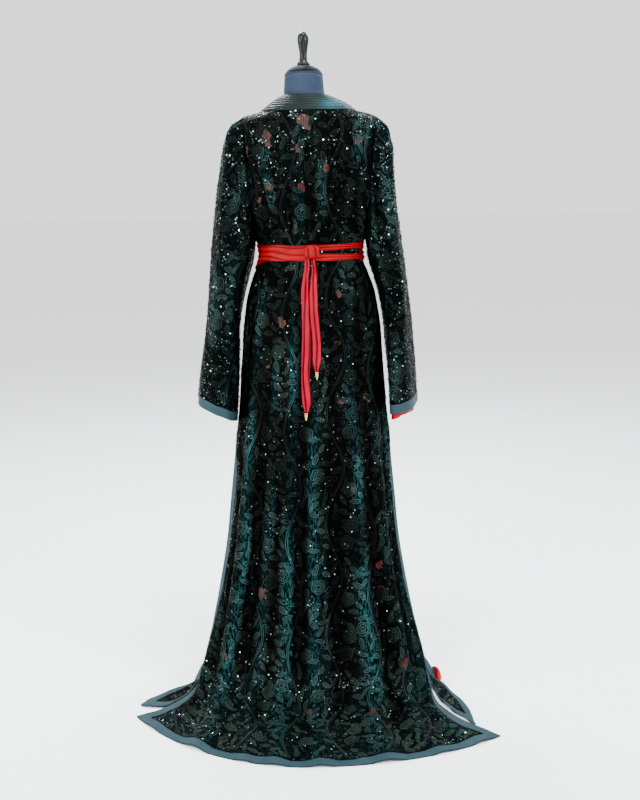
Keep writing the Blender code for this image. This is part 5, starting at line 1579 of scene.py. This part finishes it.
def makeSash():
    pieces = {}
    for belt in belts:
        steps = sashLook["rowCuts"] if belt.folds > 3 else sashLook["rowCuts"] // 2
        high, low, flat, folds = [], [], [], []
        for step in range(steps + 1):
            down = step / steps
            highRow, lowRow, flatRow, foldRow = [], [], [], []
            for index in range(belt.columns + 1):
                way = index / belt.columns
                turn = mix(belt.start, belt.end, way)
                front = ease(-math.cos(turn) * 0.8 + 0.2)
                edgeWave = 0.0012 * math.sin(9.0 * turn + 1.0) * (belt.folds > 3)
                top = mix(belt.topStart, belt.topEnd, way) - 0.002 * front + edgeWave
                foot = mix(belt.footStart, belt.footEnd, way) - 0.004 * front
                foot -= sashLook["leftDrop"] * bell(turn - 1.47 * math.pi, 0.42)
                z = mix(top, foot, down)
                drift = 0.16 * math.sin(2.3 * turn + 0.7) + 0.10 * math.sin(5.1 * turn)
                fan = belt.folds * (1.0 + 0.35 * math.sin(1.7 * turn + 0.4))
                fold = abs(math.cos(math.pi * (fan * down + drift))) ** 0.8
                fold *= 0.72 + 0.28 * math.sin(7.0 * turn + 5.0 * down)
                edge = min(1.0, 6.0 * min(down, 1.0 - down) + 0.25)
                foldRow.append(min(max(fold * edge, 0.0), 1.0))
                lowRow.append(waistPoint(turn, z, sashLook["seat"]))
                clear = sashLook["seat"] + sashLook["satin"] + sashLook["rise"] * fold * edge
                highRow.append(waistPoint(turn, z, clear))
                flatRow.append((way, down))
            high.append(highRow)
            low.append(lowRow)
            flat.append(flatRow)
            folds.append(foldRow)
        # the fold mark also paints shade into the satin's creases
        pieces[belt.name] = seat(
            wallPiece(
                belt.name, np.array(high), np.array(low), finishes["satin"], np.array(flat),
                marks={"fold": np.array(folds)}),
            "satin", belt.node)
    return pieces


sash = makeSash()

knotLook = {
    "centre": (0.0040, 1.1815), "half": (0.0208, 0.0180), "depth": 0.0215, "cuts": 56, "folds": 2.0,
    "foldRise": 0.0034, "squareness": 0.72,
}


def makeKnot():
    # a domed pad of wound satin: folds run down it and pinch in the middle
    base = waistPoint(0.0, 1.198, sashLook["seat"] + sashLook["satin"] + 0.0004)[1]
    cuts = knotLook["cuts"]
    rings, folds = [], []
    for level in range(cuts // 2 + 1):
        share = level / (cuts / 2)
        ring = []
        for index in range(cuts * 2):
            turn = 2.0 * math.pi * index / (cuts * 2)
            swell = max(1.0 - share ** 2.6, 0.0) ** 0.5
            s = swell * math.copysign(abs(math.cos(turn)) ** knotLook["squareness"], math.cos(turn))
            t = swell * math.copysign(abs(math.sin(turn)) ** knotLook["squareness"], math.sin(turn))
            pinch = 1.0 - 0.06 * (1.0 - abs(t)) ** 2 * abs(s)
            x = knotLook["centre"][0] + knotLook["half"][0] * s * pinch
            z = knotLook["centre"][1] + knotLook["half"][1] * t
            fold = math.cos(2.0 * math.pi * (knotLook["folds"] * (0.5 + 0.5 * s) + 0.13 * t + 0.10 * t * t))
            y = base - knotLook["depth"] * share * (0.80 + 0.06 * abs(t))
            y = y - knotLook["foldRise"] * fold * share
            ring.append((x, y, z))
            folds.append(0.5 + 0.5 * fold * share)
        rings.append(ring)
    rings = np.array(rings)
    rings[-1] = rings[-1].mean(axis=0) + (rings[-2] - rings[-2].mean(axis=0)) * 0.1
    # the fold mark also paints shade into the knot's creases
    folds = np.array(folds).reshape(rings.shape[:2])[:, ::-1].ravel()
    knot = ringPiece("beltKnot", lean(rings)[:, ::-1], finishes["satin"], {"fold": folds})
    return seat(knot, "satin", "belt_knot")


beltKnot = makeKnot()

Tail = namedtuple("Tail", "name left right footRow footShare narrow")
tails = [
    Tail("Long", -1.65, -0.22, 16, 0.70, 0.45),
    Tail("Short", 0.02, 1.30, 15, 0.42, 0.45),
]
tailLook = {
    "topRow": 10.20, "lift": 0.0034, "columns": 26, "rows": 110,
    "fold": 0.0052, "loose": 0.0008, "sway": 0.0022,
    "tipLength": 0.020, "tipRadius": 0.0052,
}
tipProfile = [
    (0.00, 0.93), (0.04, 1.00), (0.10, 1.00), (0.13, 0.90), (0.17, 0.90), (0.20, 1.00), (0.26, 0.98),
    (0.50, 0.80), (0.75, 0.56), (0.86, 0.38), (0.90, 0.34), (0.94, 0.42), (0.98, 0.38), (1.00, 0.12),
]


def makeTails():
    net = nets["back"]
    middle = backColumns // 2

    def onPanel(source, row, col):
        row, col = row * fine["rows"], col * fine["back"]
        r, c = int(row), int(col)
        top = mix(source[r, c], source[r, c + 1], col - c)
        foot = mix(source[r + 1, c], source[r + 1, c + 1], col - c)
        return mix(top, foot, row - r)

    pieces = {}
    for tail in tails:
        end = tail.footRow + tail.footShare
        start = tailLook["topRow"]
        centre = (tail.left + tail.right) / 2.0
        high, low, flat, folds = [], [], [], []
        for step in range(tailLook["rows"] + 1):
            row = mix(start, end, step / tailLook["rows"])
            pinch = mix(1.0, tail.narrow, ease((row - end + 0.35) / 0.35))
            pinch = pinch * mix(0.62, 1.0, ease((row - start) / 1.6))
            highRow, lowRow, flatRow, foldRow = [], [], [], []
            sway = tailLook["sway"] * math.sin(2.1 * row + 3.0 * centre) * ease((row - start) / 1.5)
            for index in range(tailLook["columns"] + 1):
                share = index / tailLook["columns"]
                col = middle + centre + (mix(tail.left, tail.right, share) - centre) * pinch
                point, way = onPanel(net["grid"], row, col), unit(onPanel(net["normals"], row, col))
                shift = 0.20 * math.sin(1.1 * row + 2.0 * centre) + 0.07 * math.sin(3.7 * row + share)
                wave = 0.5 + 0.5 * math.cos(2.0 * math.pi * (1.5 * share + shift))
                wave = 1.0 - (1.0 - wave) ** 2.2
                wave *= 0.82 + 0.18 * math.sin(6.0 * row + 5.0 * share)
                fold = tailLook["fold"] * wave * ease((row - start + 0.6) / 2.5)
                foldRow.append(wave)
                point = point + np.array([sway, 0.0, 0.0])
                base = cloth / 2.0 + tailLook["loose"]
                base = base + tailLook["lift"] * (1.0 - ease((row - start - 0.4) / 3.0))
                lowRow.append(point + way * base)
                highRow.append(point + way * (base + sashLook["satin"] + fold))
                flatRow.append((share, row))
            high.append(highRow)
            low.append(lowRow)
            flat.append(flatRow)
            folds.append(foldRow)
        high, low = np.array(high), np.array(low)
        # the fold mark also paints shade into the tail's creases
        pieces[tail.name] = seat(
            wallPiece(
                "beltTail" + tail.name, high, low, finishes["tail"], np.array(flat),
                marks={"fold": np.array(folds)}),
            "satin", "belt_tail_" + tail.name.lower())
        foot = (low[-1].mean(axis=0) + high[-1].mean(axis=0)) / 2.0
        tailFoot = onPanel(net["grid"], end, middle + centre)
        way = unit(onPanel(net["grid"], end + 0.4, middle + centre) - tailFoot)
        out = unit(onPanel(net["normals"], end, middle + centre))
        across = unit(np.cross(out, way))
        out = np.cross(way, across)
        stations = [
            (tailLook["tipRadius"] * radius, tailLook["tipLength"] * share) for share, radius in tipProfile]
        stations = [(0.0003, -0.0002)] + stations + [(0.0003, stations[-1][1] + 0.0002)]
        tip = turnedPiece("beltTip" + tail.name, stations, finishes["gold"], 24)
        spots = np.array([vertex.co for vertex in tip.data.vertices])
        spot = foot + way * 0.0005 + out * tailLook["tipRadius"] * 0.8
        places = spot + spots[:, :1] * across + spots[:, 1:2] * out + spots[:, 2:] * way
        tip.data.vertices.foreach_set("co", lean(places).ravel())
        tip.data.update()
        seat(tip, "gold", "belt_tip_" + tail.name.lower())
        pieces["tip" + tail.name] = tip
    return pieces


tailPieces = makeTails()

# red satin under the right cuff and at the right hem
liningLook = {
    "up": 0.030, "down": (0.005, 0.019), "ease": 0.0030, "foldStart": 2.70, "foldEnd": 3.75, "foldSteps": 40,
    "foldReach": 0.028, "foldRise": 0.020, "clear": 0.0034,
}


def makeRedEdges():
    net = nets["sleeveRight"]
    edge = (net["grid"][-1] - net["normals"][-1] * liningLook["ease"])[:-1]
    up = unit(net["grid"][-4] - net["grid"][-1])[:-1]
    count = len(edge)
    turns = 2.0 * math.pi * np.arange(count) / count
    hang = mix(*liningLook["down"], (1.0 + np.cos(turns)) / 2.0)
    hang = (hang + 0.0022 * np.sin(3.0 * turns) + 0.0012 * np.sin(5.0 * turns + 1.0))[:, None]
    out = net["normals"][-1][:-1]
    tube = [edge + up * liningLook["up"]]
    for share in np.linspace(0.0, 1.0, 9):
        ripple = 0.0022 * share * np.sin(9.0 * turns + 2.0 * share)[:, None]
        tube.append(edge - up * hang * share + out * ripple)
    tube = np.array(tube)
    outward = normalsOf(tube, wrap=True)
    flat = np.zeros((*tube.shape[:2], 2))
    cuff = wallPiece(
        "cuffLiningRight", tube + outward * 0.0006, tube - outward * 0.0006,
        finishes["edgeSatin"], flat, wrap=True)
    pieces = [seat(cuff, "satin", "cuff_lining_right")]
    hemLine, inland = nets["right"]["grid"][-1], nets["right"]["grid"][-1 - fine["rows"]]
    rows = []
    for step in range(liningLook["foldSteps"] + 1):
        share = step / liningLook["foldSteps"]
        col = mix(liningLook["foldStart"], liningLook["foldEnd"], share) * fine["front"]
        spot, behind = (
            np.array([np.interp(col, range(len(hemLine)), line[:, axis]) for axis in range(3)])
            for line in (hemLine, inland))
        away = unit((spot - behind) * (1.0, 1.0, 0.0))
        swell = math.sin(math.pi * mix(0.06, 0.94, share))
        near = spot * (1.0, 1.0, 0.0) + away * liningLook["clear"] + np.array([0.0, 0.0, 0.0012])
        row = []
        for reach in np.linspace(0.0, 1.0, 13):
            rise = liningLook["foldRise"] * swell * math.sin(math.pi * min(reach * 1.02, 1.0)) ** 0.7
            rise += 0.0016 * swell * reach * math.sin(17.0 * share)
            row.append(near + away * liningLook["foldReach"] * swell * reach + np.array([0.0, 0.0, rise]))
        rows.append(row)
    flap = np.array(rows)
    outward = normalsOf(flap)
    outer, inner = flap + outward * 0.0006, flap - outward * 0.0006
    liftOffFloor(inner, 0.0001)
    fold = wallPiece("hemFoldRight", outer, inner, finishes["edgeSatin"])
    pieces.append(seat(fold, "satin", "hem_fold_right"))
    return pieces


redEdges = makeRedEdges()
print("stage 7: sash and red edges made")

# burnout motif: vines, leaves, roses and rings, charted once and repeated over the cloth
motifLook = {
    "tile": (0.24, 0.30), "line": 0.0013, "stemLine": 0.0012, "halfDrop": 0.15,
    "leaves": 48, "leafLong": (0.024, 0.034), "leafWide": (0.009, 0.013), "leafPoints": 12,
    "roses": 6, "roseRings": (0.019, 0.0125, 0.0062), "rosePoints": 14,
    "rings": 26, "ringSize": (0.003, 0.005), "tendrils": 6, "tendrilPoints": 16, "tries": 260,
    "windowLift": 0.0005, "fillLift": 0.0010, "lineLift": 0.0013, "sequinLift": 0.0018, "margin": 0.004,
}
sequinLook = {
    "tries": {"back": 46000, "right": 9000, "left": 9000, "sleeveRight": 18000, "sleeveLeft": 18000},
    "size": (0.0013, 0.0024), "tilt": 0.62, "even": 0.07,
}
# places on the back where the pile is worn through, across and down the flat panel, and half width
windows = {
    "back": [
        (-0.010, 0.047, 0.019), (-0.109, 0.093, 0.017), (-0.190, 0.120, 0.009), (-0.025, 0.119, 0.011),
        (0.138, 0.099, 0.014), (-0.107, 0.217, 0.007), (0.043, 0.170, 0.010), (-0.145, 0.250, 0.006),
        (-0.080, 0.586, 0.011), (0.073, 0.514, 0.008), (-0.127, 0.699, 0.008), (0.160, 0.796, 0.011),
        (0.079, 0.796, 0.008), (-0.155, 1.314, 0.015), (-0.007, 1.645, 0.010), (0.111, 1.038, 0.009),
    ],
    "red": [
        (-0.019, 0.217, 0.009), (0.220, 1.327, 0.013), (0.216, 1.252, 0.009), (0.282, 1.526, 0.011),
        (0.067, 0.642, 0.007), (-0.275, 1.498, 0.009), (0.164, 1.670, 0.009),
    ],
}


class Chart:
    # lines and fills of the motif in the tile's own metres
    def __init__(self):
        self.points, self.faces, self.count = [], [], 0

    def add(self, points, faces):
        self.points.append(np.asarray(points, dtype=float))
        self.faces.append(np.asarray(faces, dtype=int) + self.count)
        self.count += len(points)

    def line(self, points, width, closed=False):
        points = np.asarray(points, dtype=float)
        if closed:
            along = np.roll(points, -1, axis=0) - np.roll(points, 1, axis=0)
        else:
            along = np.gradient(points, axis=0)
        away = unit(np.stack([-along[:, 1], along[:, 0]], axis=1)) * width / 2.0
        count = len(points)
        start = np.arange(count if closed else count - 1)
        after = (start + 1) % count
        self.add(
            np.concatenate([points + away, points - away]),
            np.stack([start, after, after + count, start + count], axis=1))

    def fill(self, points):
        count = len(points)
        centre = np.asarray(points).mean(axis=0, keepdims=True)
        start = np.arange(0, count, 2)
        self.add(
            np.concatenate([points, centre]),
            np.stack([np.full(len(start), count), start, start + 1, (start + 2) % count], axis=1))

    def arrays(self):
        return np.concatenate(self.points), np.concatenate(self.faces)


def leafShape(spot, angle, length, width, count):
    turn = 2.0 * math.pi * np.arange(count) / count
    along = np.cos(turn)
    side = np.sin(turn) * (1.0 - 0.35 * along) * (1.0 - 0.55 * np.abs(along) ** 5)
    bend = 0.10 * (1.0 - along ** 2)
    x, y = along * length / 2.0, (side * width / 2.0) + bend * width
    return spot + np.stack(
        [x * math.cos(angle) - y * math.sin(angle), x * math.sin(angle) + y * math.cos(angle)], axis=1)


def chartMotif():
    draw = np.random.default_rng(19)
    wide, high = motifLook["tile"]
    lines, fills = Chart(), Chart()
    taken = []
    stemRows = np.linspace(0.0, high, 25)
    for across, swing, phase in ((0.26, 0.026, 0.0), (0.76, 0.022, 2.1)):
        centre = np.stack(
            [across * wide + swing * np.sin(2.0 * math.pi * stemRows / high + phase), stemRows], axis=1)
        for side in (-0.0022, 0.0022):
            lines.line(centre + np.array([side, 0.0]), motifLook["stemLine"])
        taken += [(spot[0], spot[1], 0.003) for spot in centre]

    def place(radius, squeeze=1.0):
        for _ in range(motifLook["tries"]):
            spot = draw.uniform((0.0, 0.0), (wide, high))
            clear = True
            for x, y, other in taken:
                dx = abs(spot[0] - x)
                dy = abs(spot[1] - y)
                gap = math.hypot(min(dx, wide - dx), min(dy, high - dy))
                if gap < (radius + other) * squeeze:
                    clear = False
                    break
            if clear:
                taken.append((spot[0], spot[1], radius))
                return spot
        return None

    turn = 2.0 * math.pi * np.arange(motifLook["rosePoints"]) / motifLook["rosePoints"]
    for _ in range(motifLook["roses"]):
        spot = place(motifLook["roseRings"][0] * 1.05)
        if spot is None:
            continue
        phase = draw.uniform(0, 2 * math.pi)
        for ring, radius in enumerate(motifLook["roseRings"]):
            petals = 5 if ring == 0 else 3
            wobble = radius * (1.0 + 0.13 * np.cos(petals * turn + phase + ring))
            shape = spot + np.stack([wobble * np.cos(turn), wobble * np.sin(turn)], axis=1)
            lines.line(shape, motifLook["line"], closed=True)
            if ring == 0:
                fills.fill(shape)
    for _ in range(motifLook["leaves"]):
        length = draw.uniform(*motifLook["leafLong"])
        width = draw.uniform(*motifLook["leafWide"])
        spot = place(length * 0.36, 0.93)
        if spot is None:
            continue
        angle = draw.uniform(0, 2 * math.pi)
        shape = leafShape(spot, angle, length, width, motifLook["leafPoints"])
        lines.line(shape, motifLook["line"], closed=True)
        fills.fill(shape)
        tip = np.array([math.cos(angle), math.sin(angle)])
        side = np.array([-tip[1], tip[0]]) * width * 0.10
        rib = [spot - tip * length * 0.46, spot + side, spot + tip * length * 0.34]
        lines.line(rib, motifLook["line"] * 0.75)
    for _ in range(motifLook["tendrils"]):
        spot = place(0.011, 0.9)
        if spot is None:
            continue
        way = np.linspace(0.0, 1.0, motifLook["tendrilPoints"])
        spin = draw.uniform(0, 2 * math.pi) + way * 2.6 * math.pi * draw.choice((-1.0, 1.0))
        radius = 0.0115 * (1.0 - 0.82 * way)
        shape = spot + np.stack([radius * np.cos(spin), radius * np.sin(spin)], axis=1)
        lines.line(shape, motifLook["line"])
    ringTurn = 2.0 * math.pi * np.arange(8) / 8.0
    for _ in range(motifLook["rings"]):
        radius = draw.uniform(*motifLook["ringSize"])
        spot = place(radius * 1.2)
        if spot is None:
            continue
        lines.line(
            spot + radius * np.stack([np.cos(ringTurn), np.sin(ringTurn)], axis=1),
            motifLook["line"], closed=True)
    return lines.arrays(), fills.arrays()


def onCloth(net, places, lift):
    # places in the flat panel, moved onto the hanging cloth; also says which ones lie inside it
    down = net["flat"][:, 0, 1]
    rows, columns = net["grid"].shape[:2]
    row = np.clip(np.interp(places[:, 1], down, np.arange(rows)), 0.0, rows - 1.001)
    level = row.astype(int)
    share = (row - level)[:, None]
    onTrim = places[:, 1] > net.get("slitDown", 9.0)
    sideGap = np.where(onTrim, trimWidth + motifLook["margin"], motifLook["margin"])
    inside = (places[:, 1] > down[0] + motifLook["margin"]) & (places[:, 1] < down[-1] - net["footGap"])
    spots = np.zeros((2, len(places), 3))
    ways = np.zeros((2, len(places), 3))
    marks = np.zeros((2, len(places), 4))
    for line in np.unique(level):
        chosen = np.nonzero(level == line)[0]
        for step in (0, 1):
            across = net["flat"][line + step, :, 0]
            wanted = places[chosen, 0]
            gap = sideGap[chosen]
            inside[chosen] &= (wanted > across[0] + gap) & (wanted < across[-1] - gap)
            col = np.clip(np.interp(wanted, across, np.arange(columns)), 0.0, columns - 1.001)
            near = col.astype(int)
            if "valid" in net:
                inside[chosen] &= net["valid"][line + step, near] > 0.5
            part = (col - near)[:, None]
            for store, source in (
                    (spots, net["grid"]), (ways, net["normals"]),
                    (marks, np.stack([net[mark] for mark in ("glow", "dense", "shade", "spark")], axis=-1))):
                values = source[line + step]
                store[step, chosen] = values[near] * (1.0 - part) + values[near + 1] * part
    spot = mix(spots[0], spots[1], share)
    way = unit(mix(ways[0], ways[1], share))
    mark = mix(marks[0], marks[1], share)
    lifted = spot + way * (cloth / 2.0 + lift)
    liftOffFloor(lifted, cloth / 2.0 + lift)
    return lean(lifted), way, mark, inside


def spreadChart(net, chart):
    # the chart repeated over the whole panel, every second column dropped by half a tile
    points, faces = chart
    wide, high = motifLook["tile"]
    left, right = net["flat"][..., 0].min(), net["flat"][..., 0].max()
    foot = net["flat"][-1, 0, 1]
    allPoints, allFaces, count = [], [], 0
    for across in range(math.floor(left / wide) - 1, math.ceil(right / wide) + 1):
        drop = motifLook["halfDrop"] * (across % 2)
        for down in range(-1, math.ceil(foot / high) + 1):
            allPoints.append(points + np.array([across * wide, down * high + drop]))
            allFaces.append(faces + count)
            count += len(points)
    return np.concatenate(allPoints), np.concatenate(allFaces)


def printedPiece(name, net, chart, material, lift, slot):
    places, faces = spreadChart(net, chart)
    points, _, marks, inside = onCloth(net, places, lift)
    faces = faces[inside[faces].all(axis=1)]
    points, faces, places, marks = usedOnly(points, faces, places, marks)
    piece = meshPiece(
        name, points, faces, material, places,
        {"glow": marks[:, 0], "dense": marks[:, 1], "shade": marks[:, 2]})
    return seat(piece, slot)


def makeWindows(name, net, spots, finish="window"):
    draw = np.random.default_rng(41)
    allPlaces, allFaces, count = [], [], 0
    for across, down, half in spots:
        phase = draw.uniform(0, 2 * math.pi, 3)
        turn = 2.0 * math.pi * np.arange(28) / 28
        edge = half * (
            1.0 + 0.20 * np.sin(2 * turn + phase[0]) + 0.15 * np.sin(3 * turn + phase[1])
            + 0.10 * np.sin(7 * turn + phase[2]))
        rings = [
            np.stack(
                [across + share * edge * np.cos(turn), down + 1.15 * share * edge * np.sin(turn)], axis=1)
            for share in (0.04, 0.25, 0.50, 0.75, 1.0)]
        allPlaces.append(np.concatenate(rings))
        allFaces.append(netFaces(len(rings), 28, wrap=True) + count)
        count += 28 * len(rings)
    places, faces = np.concatenate(allPlaces), np.concatenate(allFaces)
    points, way, _, inside = onCloth(net, places, motifLook["windowLift"])
    facing = np.cross(points[faces[:, 1]] - points[faces[:, 0]], points[faces[:, 2]] - points[faces[:, 0]])
    if (facing * way[faces[:, 0]]).sum() < 0:
        faces = faces[:, ::-1]
    faces = faces[inside[faces].all(axis=1)]
    points, faces, places = usedOnly(points, faces, places)
    return seat(meshPiece(name, points, faces, finishes[finish], places), "velvet")


def makeSequins(name, key):
    net = prints[key]
    draw = np.random.default_rng(100 + len(name) + ord(name[-1]))
    left, right = net["flat"][..., 0].min(), net["flat"][..., 0].max()
    places = draw.uniform((left, 0.0), (right, net["flat"][-1, 0, 1]), (sequinLook["tries"][key], 2))
    points, ways, marks, inside = onCloth(net, places, motifLook["sequinLift"])
    chance = sequinLook["even"] + (1.0 - sequinLook["even"]) * marks[:, 3] ** 1.4
    chosen = inside & (draw.random(len(places)) < chance)
    points, ways, places = points[chosen], ways[chosen], places[chosen]
    count = len(points)
    tilted = unit(ways + draw.normal(0.0, sequinLook["tilt"] / 2.0, (count, 3)))
    first = unit(np.cross(tilted, draw.normal(0.0, 1.0, (count, 3))))
    second = np.cross(tilted, first)
    size = draw.uniform(*sequinLook["size"], (count, 1))
    corners = [
        points + size * (first * math.cos(step * math.pi / 3) + second * math.sin(step * math.pi / 3))
        for step in range(6)]
    corners = np.stack(corners, axis=1)
    corners[..., 2] = np.maximum(corners[..., 2], 0.0008)
    start = np.arange(count)[:, None] * 6
    faces = np.concatenate([start + np.array([0, 1, 2, 3]), start + np.array([0, 3, 4, 5])])
    tone = np.repeat(draw.random(count), 6)
    piece = meshPiece(
        name, corners.reshape(-1, 3), faces, finishes["sequin"], np.repeat(places, 6, axis=0),
        {"tone": tone}, smooth=False)
    return seat(piece, "velvet")


prints = {}
for key, net in nets.items():
    prints[key] = printNet(net) if key.startswith("sleeve") else dict(net)
    prints[key]["footGap"] = motifLook["margin"]
    if not key.startswith("sleeve"):
        prints[key]["footGap"] += trimWidth
        prints[key]["slitDown"] = net["flat"][slitTop * fine["rows"], 0, 1] - motifLook["margin"]
motif = chartMotif()
extras = {}
for key, (name, node) in panelNodes.items():
    extras[key] = [
        printedPiece(
            name + "Fills", prints[key], motif[1], finishes["leaf"], motifLook["fillLift"], "velvet"),
        printedPiece(
            name + "Outlines", prints[key], motif[0], finishes["thread"], motifLook["lineLift"], "velvet"),
        makeSequins(name + "Sequins", key),
    ]
extras["back"].append(makeWindows("backPanelWindows", prints["back"], windows["back"]))
extras["back"].append(makeWindows("backPanelRedWindows", prints["back"], windows["red"], "wornRed"))
print("stage 8: motif, windows and sequins made")


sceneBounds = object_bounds()


def plainLists(bounds):
    return json.loads(json.dumps(bounds, default=lambda value: [float(part) for part in value]))


{"cad": plainLists(cadBounds), "scene": plainLists(sceneBounds)}
